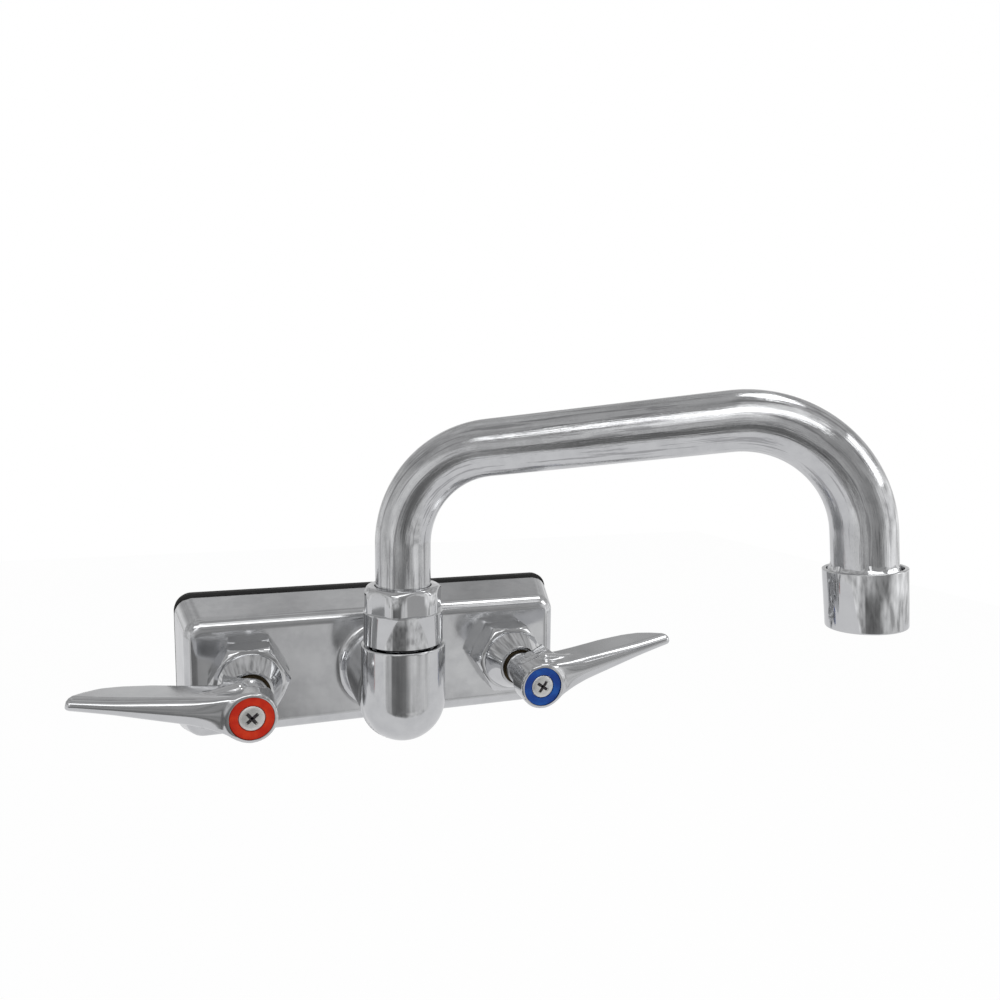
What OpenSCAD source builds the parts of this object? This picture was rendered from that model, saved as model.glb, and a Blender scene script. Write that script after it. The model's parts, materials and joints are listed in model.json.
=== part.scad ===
// Commercial wall faucet: a splash-mounted body with two quarter-turn lever valves
// and a swing spout that ends in an aerator.
// The wall plane is y = 0 and the faucet stands out towards -y. +x is right and +z is up.
// The origin lies on the wall plane, midway between the two inlets.
// Depths called t are distances out from the wall plane.

/* [Body] */
// Distance between the centres of the hot and cold inlets
inlet_spacing = 101.6; // [98:0.1:108]
// Width of the body where it meets the gasket
body_w = 156.2; // [150:0.1:170]
// Height of the body where it meets the gasket
body_h = 54.8; // [48:0.1:60]
// Depth of the body in front of the gasket
body_d = 21; // [20:0.1:26]
// How far the left and right sides draw in from the back of the body to its front
body_draft = 4.95; // [3:0.05:6]
// How far the top and bottom draw in from the back of the body to its front
body_top_draft = 5.5; // [3:0.05:7]
// How far the middle of the body lies below the inlet axes
body_sink = 0.4; // [0:0.05:1]
// Corner radius of the body seen from the front
body_corner_r = 6.5; // [5:0.1:9]
// Radius of the rounded front edge of the body
body_edge_r = 3.4; // [1.5:0.1:3.5]
// Wall of the hollow casting
casting_wall = 3; // [2:0.1:3.5]
// Thickness of the rubber gasket behind the body
gasket_t = 3; // [2:0.1:5]
// How far the gasket sits above the middle of the body
gasket_rise = 1.15; // [0:0.05:2.5]

/* [Inlets] */
// Outside diameter of the threaded inlet shanks
inlet_d = 20.955; // [20:0.005:22]
// Waterway through each inlet shank
inlet_bore_d = 13; // [10:0.1:14]
// Length of each inlet shank behind the wall plane
inlet_out = 38; // [30:0.5:60]
// Length of each inlet shank screwed into the body
inlet_engage = 6; // [5:0.1:7]
// Thickness of the panel that the lock nuts clamp
panel_t = 6; // [2:0.1:8]
// Width of a lock nut across its flats
locknut_af = 28.6; // [26:0.1:32]
// Thickness of a lock nut
locknut_t = 6; // [5:0.1:8]
// Outside diameter of a mounting washer
mount_washer_d = 34; // [30:0.5:38]
// Thickness of a mounting washer
mount_washer_t = 1.6; // [1:0.1:2.5]

/* [Valves] */
// Diameter of the thread that holds a bonnet nut in the body
bonnet_thread_d = 20.9; // [20.4:0.05:22]
// Width of a bonnet nut across its flats
bonnet_af = 25.7; // [25:0.1:28]
// Height of the hexagon of a bonnet nut
bonnet_hex_h = 11.6; // [8:0.1:13]
// Height of the tapered collar in front of the hexagon
bonnet_collar_h = 9.4; // [8:0.1:12]
// Diameter of the collar where it leaves the hexagon
bonnet_collar_d = 23; // [21:0.1:25]
// Diameter of the collar at its front end
bonnet_nose_d = 16; // [15.6:0.1:18]
// Outside diameter of the cartridge housing inside the bonnet nut
housing_d = 13.6; // [13.2:0.1:14]
// Diameter of the valve stem
stem_d = 9; // [8:0.1:9.4]
// Diameter of the ceramic discs
disc_d = 16; // [15:0.1:16.2]
// Thickness of each ceramic disc
disc_t = 2; // [1.5:0.1:2.4]
// Thickness of the rubber seat seal
seat_seal_t = 1.2; // [0.8:0.1:1.6]

/* [Handles] */
// Gap between a bonnet nut and its handle
handle_gap = 1.6; // [1:0.1:3]
// Depth of the handle hub along the stem
handle_h = 22.7; // [21:0.1:28]
// Diameter of the hub at its face
hub_d = 16.5; // [16:0.1:18]
// Diameter of the hub neck beside the bonnet nut
hub_neck_d = 14.4; // [13.6:0.1:15.4]
// Length of the hub neck
hub_neck_h = 3.2; // [2:0.1:5]
// Distance from the stem to the tip of the lever
lever_l = 54.7; // [48:0.5:75]
// Depth of the lever blade along the stem
lever_d = 16.3; // [14:0.1:17.5]
// Half height of the lever blade at the hub
lever_root_w = 7.6; // [6.5:0.1:7.9]
// Angle of the hot lever above level when it is shut
hot_lever_angle = 10.8; // [0:0.1:15]
// Angle of the cold lever above level when it is shut
cold_lever_angle = 13.9; // [0:0.1:15]
// Outside diameter of the coloured index ring
index_d = 14.3; // [13.5:0.1:14.5]
// Thickness of the index ring
index_t = 1.3; // [1:0.1:2]
// Diameter of the handle screw's head
screw_head_d = 8.4; // [7:0.1:9]
// Diameter of the handle screw's thread
screw_d = 4; // [3:0.1:4.4]
// Length of the handle screw below its head
screw_l = 14; // [12:0.5:16]

/* [Outlet] */
// Distance from the wall to the axis that the spout swings about
outlet_out = 64.4; // [60:0.1:80]
// Diameter of the outlet barrel
barrel_d = 29.2; // [28.6:0.1:32]
// Height of the barrel's rim above the inlet axes
barrel_top = 19.8; // [17:0.1:24]
// Diameter of the horizontal neck where it leaves the body
neck_d = 31.4; // [30:0.1:33]
// Diameter of the waterway through the neck
neck_bore_d = 12; // [9:0.1:13]
// Diameter of the threaded nipple on top of the barrel
nipple_d = 23.2; // [22.8:0.1:23.4]
// Length of the threaded nipple
nipple_h = 10.2; // [9:0.1:11.2]
// Gap between the barrel's rim and the spout nut
nut_gap = 0.6; // [0.6:0.1:1.6]
// Diameter of the round lower part of the spout nut
nut_skirt_d = 27.4; // [26.4:0.1:28]
// Height of the round lower part of the spout nut
nut_skirt_h = 11.2; // [9:0.1:11.4]
// Width of the spout nut across its flats
nut_af = 25.2; // [25:0.1:26]
// Height of the hexagon of the spout nut
nut_hex_h = 8.6; // [7:0.1:12]
// Angle of the spout nut's hexagon when it is tight
nut_turn = 7.5; // [0:0.5:59.5]

/* [Spout] */
// Outside diameter of the spout tube
tube_d = 19.05; // [18.6:0.05:19.2]
// Wall of the spout tube
tube_wall = 1.1; // [0.8:0.05:1.4]
// Horizontal distance from the swing axis to the end of the tube
spout_reach = 148.1; // [140:0.1:310]
// Height above the inlet axes where the first bend starts
spout_rise = 54.2; // [48:0.1:90]
// Centreline radius of the first bend
bend_near_r = 34.1; // [28:0.1:40]
// Centreline radius of the second bend
bend_far_r = 35.5; // [30:0.1:42]
// Upward slope of the long straight run, in degrees
spout_slope = 7; // [0:0.1:10]
// Lean of the tube's end away from vertical, in degrees
tip_lean = 4.5; // [0:0.1:10]
// Length of the straight tube after the second bend
spout_drop = 20.2; // [16:0.1:30]
// Angle of the spout to the right of straight out, in degrees
spout_turn = 58.4; // [0:0.1:90]
// Outside diameter of the aerator at its top
aerator_d = 24.1; // [23.8:0.1:25]
// Outside diameter of the aerator at its bottom
aerator_low_d = 23.4; // [23:0.1:24]
// Height of the aerator
aerator_h = 17.9; // [17:0.1:21]
// Length of tube that stands inside the aerator
aerator_engage = 9; // [8.5:0.1:9.5]

/* [Hidden] */
$fn = 64;

// Colours
chrome = [0.80, 0.81, 0.83];
bare_brass = [0.76, 0.61, 0.33];
black_rubber = [0.08, 0.08, 0.08];
white_ceramic = [0.93, 0.92, 0.88];
hot_red = [0.80, 0.17, 0.10];
cold_blue = [0.10, 0.30, 0.66];
pale_plastic = [0.86, 0.86, 0.84];
steel = [0.62, 0.63, 0.65];

// Clearances shared by all pieces
overrun = 1;
skin = 0.01;
run_fit = 0.05;
thread_fit = 0.025;
face_gap = 0.1;
disc_gap = 0.03;

// Depths of the body and of the parts screwed into it
t_rear = gasket_t;
t_front = gasket_t + body_d;
t_shank = t_rear + inlet_engage;
seat_wall = 1.5;
t_seat = t_shank + seat_wall;
inlet_r = inlet_d / 2;
shank_bore_r = inlet_r + thread_fit;
thread_relief = 1;
locknut_pitch = 1.8;
relief_w = 1.2;
relief_depth = 0.6;
relief_gap = 1.5;

// Body casting
boss_wall = 4;
boss_r = bonnet_thread_d / 2 + boss_wall;
pocket_r = bonnet_thread_d / 2 + thread_fit;
seat_land_w = 2.9;
seat_port_r = disc_d / 2 - seat_land_w;
waterway_r = 3.2;
waterway_wall = 3;
t_waterway = t_seat + waterway_r + face_gap;
neck_root_wall = 3.5;
neck_root_r = neck_bore_d / 2 + neck_root_wall;
neck_fillet_r = 3;
edge_steps = 6;
barrel_r = barrel_d / 2;
barrel_rim_r = 0.8;
nipple_top = barrel_top + nipple_h;
gasket_hole_gap = 0.6;

// Cartridge, from the seat outwards
t_disc = t_seat + seat_seal_t;
t_moving = t_disc + disc_t + disc_gap;
t_stem = t_moving + disc_t;
stem_flange_t = 1.2;
stem_flange_inset = 0.8;
stem_flange_r = disc_d / 2 - stem_flange_inset;
stem_key_w = 2;
stem_key_h = 0.8;
t_roof = t_stem + stem_flange_t + face_gap;
cup_r = disc_d / 2 + face_gap;
cup_wall = 1;
roof_t = 1.5;
flange_t = 1.6;
t_flange = t_roof + roof_t;
t_tail = t_flange + flange_t;
window_w = 7;
window_slots = 2;
window_turn = 45;
disc_port_shares = [0.28, 0.80];
disc_port_angle = 76;
clip_t = 0.8;
clip_gap_angle = 70;
housing_inset = 1.6;

// Bonnet nut and stem
t_bonnet = t_front + bonnet_hex_h;
t_nose = t_bonnet + bonnet_collar_h;
bonnet_chamfer = 1.2;
bonnet_groove = 0.5;
t_housing = t_nose - housing_inset;
stem_r = stem_d / 2;
stem_seal_cs = 1.2;
stem_seal_shares = [0.25, 0.42];
t_hub = t_nose + handle_gap;
t_face = t_hub + handle_h;
t_floor = t_face - index_t;
hub_web = 8;
t_spline = t_floor - hub_web;
spline_share = 0.78;
spline_af = spline_share * stem_d;
spline_squares = 3;
spline_start = 1.4;

// Lever blade: places along it, half heights and depths as shares of the named sizes
lever_place_shares = [0.07, 0.20, 0.37, 0.63, 0.78, 0.89, 0.96, 1];
lever_width_shares = [1, 0.71, 0.57, 0.435, 0.355, 0.32, 0.30, 0.27];
lever_depth_shares = [1.16, 1.08, 1, 1, 0.91, 0.69, 0.39, 0.10];
lever_edge_r = 1.7;
lever_edge_share = 0.46;
hub_edge_r = 0.9;
cross_w = 0.9;
cross_l = 5;
cross_depth = 1.6;
cross_turn = 40;
screw_dome = 0.5;

// Spout swivel
sleeve_gap = 8;
sleeve_step = 0.375;
sleeve_r = tube_d / 2 + sleeve_step;
socket_r = sleeve_r + run_fit;
sleeve_wall = 2.6;
sleeve_bore_r = sleeve_r - sleeve_wall;
sleeve_flange_t = 1.9;
sleeve_flange_inset = 0.6;
sleeve_flange_r = nipple_d / 2 - sleeve_flange_inset;
sleeve_spigot_h = 6;
sleeve_seal_cs = 1.5;
sleeve_seal_shares = [0.30, 0.68];
z_flange = nipple_top + face_gap;
z_tube = z_flange + sleeve_flange_t;
swivel_washer_t = 1;
z_shoulder = z_tube + swivel_washer_t + 2 * run_fit;
nut_bore_r = nipple_d / 2 + thread_fit;
nut_hole_gap = 0.28;
nut_corner_r = 13.5;
nut_top_chamfer = 1.2;
z_nut = barrel_top + nut_gap;
z_ledge = z_nut + nut_skirt_h;
z_nut_top = z_ledge + nut_hex_h;

// Spout centreline
tube_r = tube_d / 2;
tube_bore_r = tube_r - tube_wall;
near_turn = 90 - spout_slope;
far_turn = 90 + spout_slope - tip_lean;
near_end = [bend_near_r * (1 - cos(near_turn)), spout_rise + bend_near_r * sin(near_turn)];
far_across = bend_far_r * (sin(spout_slope) + cos(tip_lean));
run_across = spout_reach - near_end.x - far_across - spout_drop * sin(tip_lean);
run_l = run_across / cos(spout_slope);
run_end = near_end + run_l * [cos(spout_slope), sin(spout_slope)];
far_centre = run_end + bend_far_r * [sin(spout_slope), -cos(spout_slope)];
far_end = far_centre + bend_far_r * [cos(tip_lean), sin(tip_lean)];
tube_end = far_end + spout_drop * [sin(tip_lean), -cos(tip_lean)];
tube_sides = 36;
bend_steps = 12;

// Aerator, measured along the tube's end
tip_ring_recess = 2;
aerator_thread_wall = 0.9;
tip_ring_r = aerator_low_d / 2 - aerator_thread_wall;
aerator_low = aerator_h - aerator_engage;
aerator_lip_h = 1.5;
aerator_lip_w = 1.6;
aerator_washer_t = 1.6;
aerator_bore_r = tip_ring_r + thread_fit;
insert_r = aerator_bore_r - face_gap;
aerator_edge_r = 0.5;
screen_t = 0.8;
screen_hole_r = 0.85;
screen_hole_pitch = 2.6;
screen_rings = 3;
insert_hole_r = 0.9;
insert_holes = 12;
insert_skirt_wall = 1.2;
insert_plate_t = 2;

// Puts local +z along the way out of the wall, at distance x from the middle
module out_of_wall(x = 0) {
    translate([x, 0, 0])
        rotate([90, 0, 0])
            children();
}

// Repeats a piece on one valve axis; side is -1 for hot and 1 for cold
module on_valve(side) {
    out_of_wall(side * inlet_spacing / 2)
        children();
}

// The stem frame: the two valves mirror each other
module on_stem(side) {
    on_valve(side)
        mirror([side < 0 ? 1 : 0, 0, 0])
            children();
}

function lever_angle(side) = side < 0 ? hot_lever_angle : cold_lever_angle;

// The handle frame: local +x runs along the lever of that side
module on_handle(side) {
    on_stem(side)
        rotate([0, 0, lever_angle(side)])
            children();
}

// The spout frame: local +x runs from the swing axis towards the tip
module on_spout() {
    translate([0, -outlet_out, 0])
        rotate([0, 0, spout_turn - 90])
            children();
}

// The tip frame: local +z runs out of the tube's end, the way the water leaves
module on_tip() {
    on_spout()
        translate([tube_end.x, 0, tube_end.y])
            rotate([0, 180 - tip_lean, 0])
                children();
}

module ring(outer, inner, h) {
    difference() {
        cylinder(r = outer, h = h);
        translate([0, 0, -overrun])
            cylinder(r = inner, h = h + 2 * overrun);
    }
}

module hexagon(across_flats, h) {
    cylinder(r = across_flats / sqrt(3), h = h, $fn = 6);
}

module torus(centre_r, section_r) {
    rotate_extrude()
        translate([centre_r, 0])
            circle(r = section_r);
}

// A drafted block with rounded corners, drawn in by inset all round.
// Levels are [t, extra inset] pairs from the wall side to the front.
module drafted_block(levels, inset) {
    hull()
        for (level = levels, sx = [-1, 1], sz = [-1, 1]) {
            draw_share = (level[0] - t_rear) / body_d;
            corner_r = max(body_corner_r - inset - level[1], body_edge_r / 2);
            trim = level[1] + inset + corner_r;
            translate([sx * (body_w / 2 - body_draft * draw_share - trim),
                       sz * (body_h / 2 - body_top_draft * draw_share - trim) - body_sink,
                       level[0] - skin])
                cylinder(r = corner_r, h = skin);
        }
}

module body_envelope() {
    edge_levels = [for (k = [0 : edge_steps])
        [t_front - body_edge_r * (1 - sin(90 * k / edge_steps)),
         body_edge_r * (1 - cos(90 * k / edge_steps))]];
    out_of_wall()
        drafted_block(concat([[t_rear + skin, 0]], edge_levels), 0);
}

module body_cavity() {
    out_of_wall()
        drafted_block([[t_rear - overrun, 0], [t_front - casting_wall, 0]], casting_wall);
}

module outlet_barrel() {
    translate([0, -outlet_out, 0]) {
        sphere(r = barrel_r);
        cylinder(r = barrel_r, h = barrel_top - barrel_rim_r);
        cylinder(r = barrel_r - barrel_rim_r, h = barrel_top);
        translate([0, 0, barrel_top - barrel_rim_r])
            torus(barrel_r - barrel_rim_r, barrel_rim_r);
        cylinder(r = nipple_d / 2 - thread_relief, h = nipple_top);
        translate([0, 0, barrel_top + nut_gap])
            cylinder(r = nipple_d / 2, h = nipple_h - nut_gap);
    }
}

module outlet_neck() {
    out_of_wall() {
        translate([0, 0, t_front - casting_wall])
            cylinder(r1 = neck_d / 2, r2 = barrel_r, h = outlet_out - t_front + casting_wall);
        translate([0, 0, t_front])
            rotate_extrude()
                difference() {
                    square([neck_d / 2 + neck_fillet_r, neck_fillet_r]);
                    translate([neck_d / 2 + neck_fillet_r, neck_fillet_r])
                        circle(r = neck_fillet_r);
                }
    }
}

module waterways() {
    for (side = [-1, 1])
        on_valve(side) {
            translate([0, 0, -overrun])
                cylinder(r = shank_bore_r, h = t_shank + overrun);
            cylinder(r = seat_port_r, h = t_front);
            translate([0, 0, t_seat])
                cylinder(r = pocket_r, h = t_front - t_seat + overrun);
        }
    translate([-inlet_spacing / 2, -t_waterway, 0])
        rotate([0, 90, 0])
            cylinder(r = waterway_r, h = inlet_spacing);
    out_of_wall()
        translate([0, 0, t_waterway])
            cylinder(r = neck_bore_d / 2, h = outlet_out - t_waterway);
    translate([0, -outlet_out, 0]) {
        sphere(r = socket_r);
        cylinder(r = socket_r, h = nipple_top + overrun);
    }
}

module body_casting() {
    color(chrome)
        difference() {
            union() {
                difference() {
                    body_envelope();
                    body_cavity();
                }
                for (side = [-1, 1])
                    on_valve(side)
                        translate([0, 0, t_rear])
                            cylinder(r = boss_r, h = body_d - casting_wall / 2);
                translate([-inlet_spacing / 2, -t_waterway, 0])
                    rotate([0, 90, 0])
                        cylinder(r = waterway_r + waterway_wall, h = inlet_spacing);
                out_of_wall()
                    translate([0, 0, t_waterway - waterway_r - waterway_wall])
                        cylinder(r = neck_root_r, h = body_d - casting_wall);
                outlet_neck();
                outlet_barrel();
            }
            waterways();
        }
}

module wall_gasket() {
    half_w = body_w / 2 - body_corner_r;
    half_h = body_h / 2 - body_corner_r;
    color(black_rubber)
        difference() {
            out_of_wall()
                translate([0, gasket_rise - body_sink, 0])
                    hull()
                        for (sx = [-1, 1], sz = [-1, 1])
                            translate([sx * half_w, sz * half_h, 0])
                                cylinder(r = body_corner_r, h = gasket_t);
            for (side = [-1, 1])
                on_valve(side)
                    translate([0, 0, -overrun])
                        cylinder(r = inlet_r + gasket_hole_gap, h = gasket_t + 2 * overrun);
        }
}

module inlet_shank(side) {
    color(bare_brass)
        on_valve(side)
            difference() {
                union() {
                    translate([0, 0, -inlet_out])
                        cylinder(r1 = inlet_r - thread_relief, r2 = inlet_r, h = thread_relief);
                    translate([0, 0, thread_relief - inlet_out])
                        cylinder(r = inlet_r, h = inlet_out + t_shank - thread_relief);
                }
                translate([0, 0, -inlet_out - overrun])
                    cylinder(r = inlet_bore_d / 2, h = inlet_out + t_shank + 2 * overrun);
                translate([0, 0, -panel_t - mount_washer_t - locknut_t - relief_gap - relief_w])
                    ring(inlet_r + overrun, inlet_r - relief_depth, relief_w);
            }
}

module mount_washer(side) {
    color(steel)
        on_valve(side)
            translate([0, 0, -panel_t - mount_washer_t])
                ring(mount_washer_d / 2, inlet_r + thread_fit, mount_washer_t);
}

module lock_nut(side) {
    corner_r = locknut_af / sqrt(3);
    color(bare_brass)
        on_valve(side)
            translate([0, 0, -panel_t - mount_washer_t - locknut_t])
                difference() {
                    intersection() {
                        hexagon(locknut_af, locknut_t);
                        cylinder(r1 = corner_r - locknut_pitch, r2 = corner_r + locknut_pitch,
                                 h = locknut_t);
                    }
                    translate([0, 0, -overrun])
                        cylinder(r = inlet_r + thread_fit, h = locknut_t + 2 * overrun);
                }
}

module seat_seal(side) {
    color(black_rubber)
        on_valve(side)
            translate([0, 0, t_seat])
                ring(cup_r + cup_wall / 2, seat_port_r, seat_seal_t);
}

// Two opposite sectors between an inner and an outer radius
module sector_ports(outer, angle, h) {
    for (turn = [0, 180])
        rotate([0, 0, turn - angle / 2])
            rotate_extrude(angle = angle)
                translate([outer * disc_port_shares[0], 0])
                    square([outer * (disc_port_shares[1] - disc_port_shares[0]), h]);
}

module fixed_disc(side) {
    color(white_ceramic)
        on_valve(side)
            translate([0, 0, t_disc])
                difference() {
                    cylinder(r = disc_d / 2, h = disc_t);
                    translate([0, 0, -overrun])
                        sector_ports(seat_port_r / disc_port_shares[1], disc_port_angle,
                                     disc_t + 2 * overrun);
                }
}

module cartridge(side) {
    color(bare_brass)
        on_valve(side)
            difference() {
                union() {
                    translate([0, 0, t_disc])
                        cylinder(r = cup_r + cup_wall, h = t_flange - t_disc);
                    translate([0, 0, t_flange])
                        cylinder(r = pocket_r - face_gap, h = flange_t);
                    translate([0, 0, t_tail])
                        cylinder(r = housing_d / 2, h = t_housing - t_tail);
                }
                translate([0, 0, t_disc - overrun])
                    cylinder(r = cup_r, h = t_roof - t_disc + overrun);
                translate([0, 0, t_disc])
                    cylinder(r = stem_r + run_fit, h = t_housing - t_disc + overrun);
                for (k = [0 : window_slots - 1])
                    rotate([0, 0, 180 * k / window_slots + window_turn])
                        translate([-cup_r - cup_wall - overrun, -window_w / 2, t_moving + face_gap])
                            cube([2 * (cup_r + cup_wall + overrun), window_w,
                                  t_roof - t_moving - face_gap]);
            }
}

module cartridge_seal(side) {
    gap = pocket_r - cup_r - cup_wall;
    color(black_rubber)
        on_valve(side)
            translate([0, 0, t_flange - gap / 2])
                torus(cup_r + cup_wall + gap / 2, gap / 2 - run_fit / 2);
}

module bonnet_nut(side) {
    corner_r = bonnet_af / sqrt(3);
    color(chrome)
        on_valve(side)
            difference() {
                union() {
                    translate([0, 0, t_tail])
                        cylinder(r = bonnet_thread_d / 2, h = t_front - t_tail);
                    translate([0, 0, t_front])
                        intersection() {
                            hexagon(bonnet_af, bonnet_hex_h);
                            cylinder(r1 = corner_r + bonnet_hex_h - bonnet_chamfer,
                                     r2 = corner_r - bonnet_chamfer, h = bonnet_hex_h);
                        }
                    translate([0, 0, t_bonnet])
                        cylinder(r = bonnet_collar_d / 2 - bonnet_groove, h = bonnet_groove);
                    translate([0, 0, t_bonnet + bonnet_groove])
                        cylinder(r1 = bonnet_collar_d / 2, r2 = bonnet_nose_d / 2,
                                 h = bonnet_collar_h - bonnet_groove);
                }
                translate([0, 0, t_tail - overrun])
                    cylinder(r = housing_d / 2 + face_gap, h = t_nose - t_tail + 2 * overrun);
            }
}

module moving_disc(side) {
    color(white_ceramic)
        on_stem(side)
            translate([0, 0, t_moving])
                difference() {
                    cylinder(r = disc_d / 2 - face_gap, h = disc_t);
                    rotate([0, 0, 90])
                        translate([0, 0, -overrun])
                            sector_ports(seat_port_r / disc_port_shares[1], disc_port_angle,
                                         disc_t - stem_key_h);
                    translate([-stem_flange_r, -stem_key_w / 2 - run_fit,
                               disc_t - stem_key_h - run_fit])
                        cube([2 * stem_flange_r, stem_key_w + 2 * run_fit, disc_t]);
                }
}

// A shaft with twelve teeth, made of turned squares
module spline(across_flats, h) {
    for (k = [0 : spline_squares - 1])
        rotate([0, 0, 90 * k / spline_squares])
            translate([-across_flats / 2, -across_flats / 2, 0])
                cube([across_flats, across_flats, h]);
}

function stem_seal_t(share) = t_tail + share * (t_housing - t_tail);

module stem(side) {
    key_l = 2 * (stem_flange_r - stem_key_h);
    color(bare_brass)
        on_stem(side)
            difference() {
                union() {
                    translate([0, 0, t_stem])
                        cylinder(r = stem_flange_r, h = stem_flange_t);
                    translate([-key_l / 2, -stem_key_w / 2, t_stem - stem_key_h])
                        cube([key_l, stem_key_w, stem_key_h + skin]);
                    translate([0, 0, t_stem])
                        cylinder(r = stem_r, h = t_hub + spline_start - t_stem);
                    translate([0, 0, t_hub])
                        rotate([0, 0, lever_angle(side)])
                            spline(spline_af, t_spline - t_hub);
                }
                for (share = stem_seal_shares)
                    translate([0, 0, stem_seal_t(share) - stem_seal_cs / 2 - face_gap])
                        ring(stem_r + overrun, stem_r - stem_seal_cs, stem_seal_cs + 2 * face_gap);
                translate([0, 0, t_housing + face_gap])
                    ring(stem_r + overrun, stem_r - clip_t, clip_t + face_gap);
                translate([0, 0, t_floor - screw_l - overrun])
                    cylinder(r = screw_d / 2, h = screw_l);
            }
}

module stem_seals(side) {
    color(black_rubber)
        on_handle(side)
            for (share = stem_seal_shares)
                translate([0, 0, stem_seal_t(share)])
                    torus(stem_r - stem_seal_cs / 2 + run_fit / 2, stem_seal_cs / 2 - run_fit / 4);
}

module stem_clip(side) {
    color(steel)
        on_handle(side)
            translate([0, 0, t_housing + face_gap])
                rotate([0, 0, clip_gap_angle / 2])
                    rotate_extrude(angle = 360 - clip_gap_angle)
                        translate([stem_r - clip_t + thread_fit, 0])
                            square([2 * clip_t, clip_t]);
}

// One section of the lever blade, a thin slab with rounded corners
module lever_section(k) {
    half_w = lever_root_w * lever_width_shares[k];
    depth = lever_d * lever_depth_shares[k];
    edge_r = min(lever_edge_r, half_w * lever_edge_share, depth * lever_edge_share);
    translate([lever_l * lever_place_shares[k] - skin, 0, t_face])
        for (sy = [-1, 1], z = [-edge_r, edge_r - depth])
            translate([0, sy * (half_w - edge_r), z])
                rotate([0, 90, 0])
                    cylinder(r = edge_r, h = skin, $fn = 32);
}

module lever_blade() {
    for (k = [0 : len(lever_place_shares) - 2])
        hull() {
            lever_section(k);
            lever_section(k + 1);
        }
}

module lever_handle(side) {
    color(chrome)
        on_handle(side)
            difference() {
                union() {
                    translate([0, 0, t_hub])
                        cylinder(r = hub_neck_d / 2, h = handle_h - index_t);
                    translate([0, 0, t_hub + hub_neck_h])
                        cylinder(r1 = hub_neck_d / 2, r2 = hub_d / 2, h = hub_edge_r);
                    translate([0, 0, t_hub + hub_neck_h + hub_edge_r])
                        cylinder(r = hub_d / 2, h = handle_h - hub_neck_h - 2 * hub_edge_r);
                    translate([0, 0, t_face - hub_edge_r])
                        torus(hub_d / 2 - hub_edge_r, hub_edge_r);
                    translate([0, 0, t_face - hub_edge_r])
                        cylinder(r = hub_d / 2 - hub_edge_r, h = hub_edge_r);
                    lever_blade();
                }
                translate([0, 0, t_hub - overrun])
                    cylinder(r = stem_r + run_fit, h = spline_start + run_fit + overrun);
                translate([0, 0, t_hub])
                    spline(spline_af + 2 * run_fit, t_spline - t_hub);
                translate([0, 0, t_hub])
                    cylinder(r = screw_d / 2 + face_gap, h = handle_h);
                translate([0, 0, t_floor])
                    cylinder(r = index_d / 2 + run_fit, h = index_t + overrun);
            }
}

module index_ring(side) {
    color(side < 0 ? hot_red : cold_blue)
        on_handle(side)
            translate([0, 0, t_floor])
                ring(index_d / 2, screw_head_d / 2 + run_fit, index_t - run_fit);
}

module handle_screw(side) {
    color(steel)
        on_handle(side)
            difference() {
                union() {
                    translate([0, 0, t_floor - screw_l])
                        cylinder(r = screw_d / 2 - thread_fit, h = screw_l + skin);
                    translate([0, 0, t_floor])
                        cylinder(r = screw_head_d / 2, h = index_t - screw_dome / 2);
                    translate([0, 0, t_face - screw_dome / 2])
                        cylinder(r1 = screw_head_d / 2, r2 = screw_head_d / 2 - 2 * screw_dome,
                                 h = screw_dome);
                }
                for (turn = [0, 90])
                    rotate([0, 0, cross_turn + turn])
                        translate([-cross_l / 2, -cross_w / 2, t_face - cross_depth + screw_dome])
                            cube([cross_l, cross_w, cross_depth]);
            }
}

module spout_nut() {
    color(chrome)
        translate([0, -outlet_out, 0])
            difference() {
                union() {
                    translate([0, 0, z_nut])
                        cylinder(r = nut_skirt_d / 2, h = nut_skirt_h);
                    translate([0, 0, z_ledge])
                        intersection() {
                            rotate([0, 0, nut_turn])
                                hexagon(nut_af, nut_hex_h);
                            union() {
                                cylinder(r = nut_corner_r, h = nut_hex_h - nut_top_chamfer);
                                translate([0, 0, nut_hex_h - nut_top_chamfer])
                                    cylinder(r1 = nut_corner_r, r2 = nut_corner_r - nut_top_chamfer,
                                             h = nut_top_chamfer);
                            }
                        }
                }
                translate([0, 0, z_nut - overrun])
                    cylinder(r = nut_bore_r, h = z_shoulder - z_nut + overrun);
                translate([0, 0, z_nut])
                    cylinder(r = tube_r + nut_hole_gap, h = z_nut_top - z_nut + overrun);
            }
}

module swivel_washer() {
    color(pale_plastic)
        translate([0, -outlet_out, z_tube + run_fit])
            ring(nipple_d / 2 - face_gap, tube_r + nut_hole_gap, swivel_washer_t);
}

// Stations along the tube's centreline, as [across, up, heading in degrees]
tube_stations = concat(
    [[0, z_tube, 90]],
    [for (k = [0 : bend_steps])
        let (turned = near_turn * k / bend_steps)
        [bend_near_r * (1 - cos(turned)), spout_rise + bend_near_r * sin(turned), 90 - turned]],
    [for (k = [0 : bend_steps])
        let (at = 90 + spout_slope - far_turn * k / bend_steps)
        [far_centre.x + bend_far_r * cos(at), far_centre.y + bend_far_r * sin(at), at - 90]],
    [[tube_end.x, tube_end.y, tip_lean - 90]]
);

// The ring of points of radius r around one station, square to its heading
function tube_ring(station, r) = [
    for (k = [0 : tube_sides - 1])
        let (turn = 360 * k / tube_sides)
        [station.x - r * cos(turn) * sin(station.z),
         r * sin(turn),
         station.y + r * cos(turn) * cos(station.z)]
];

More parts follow.
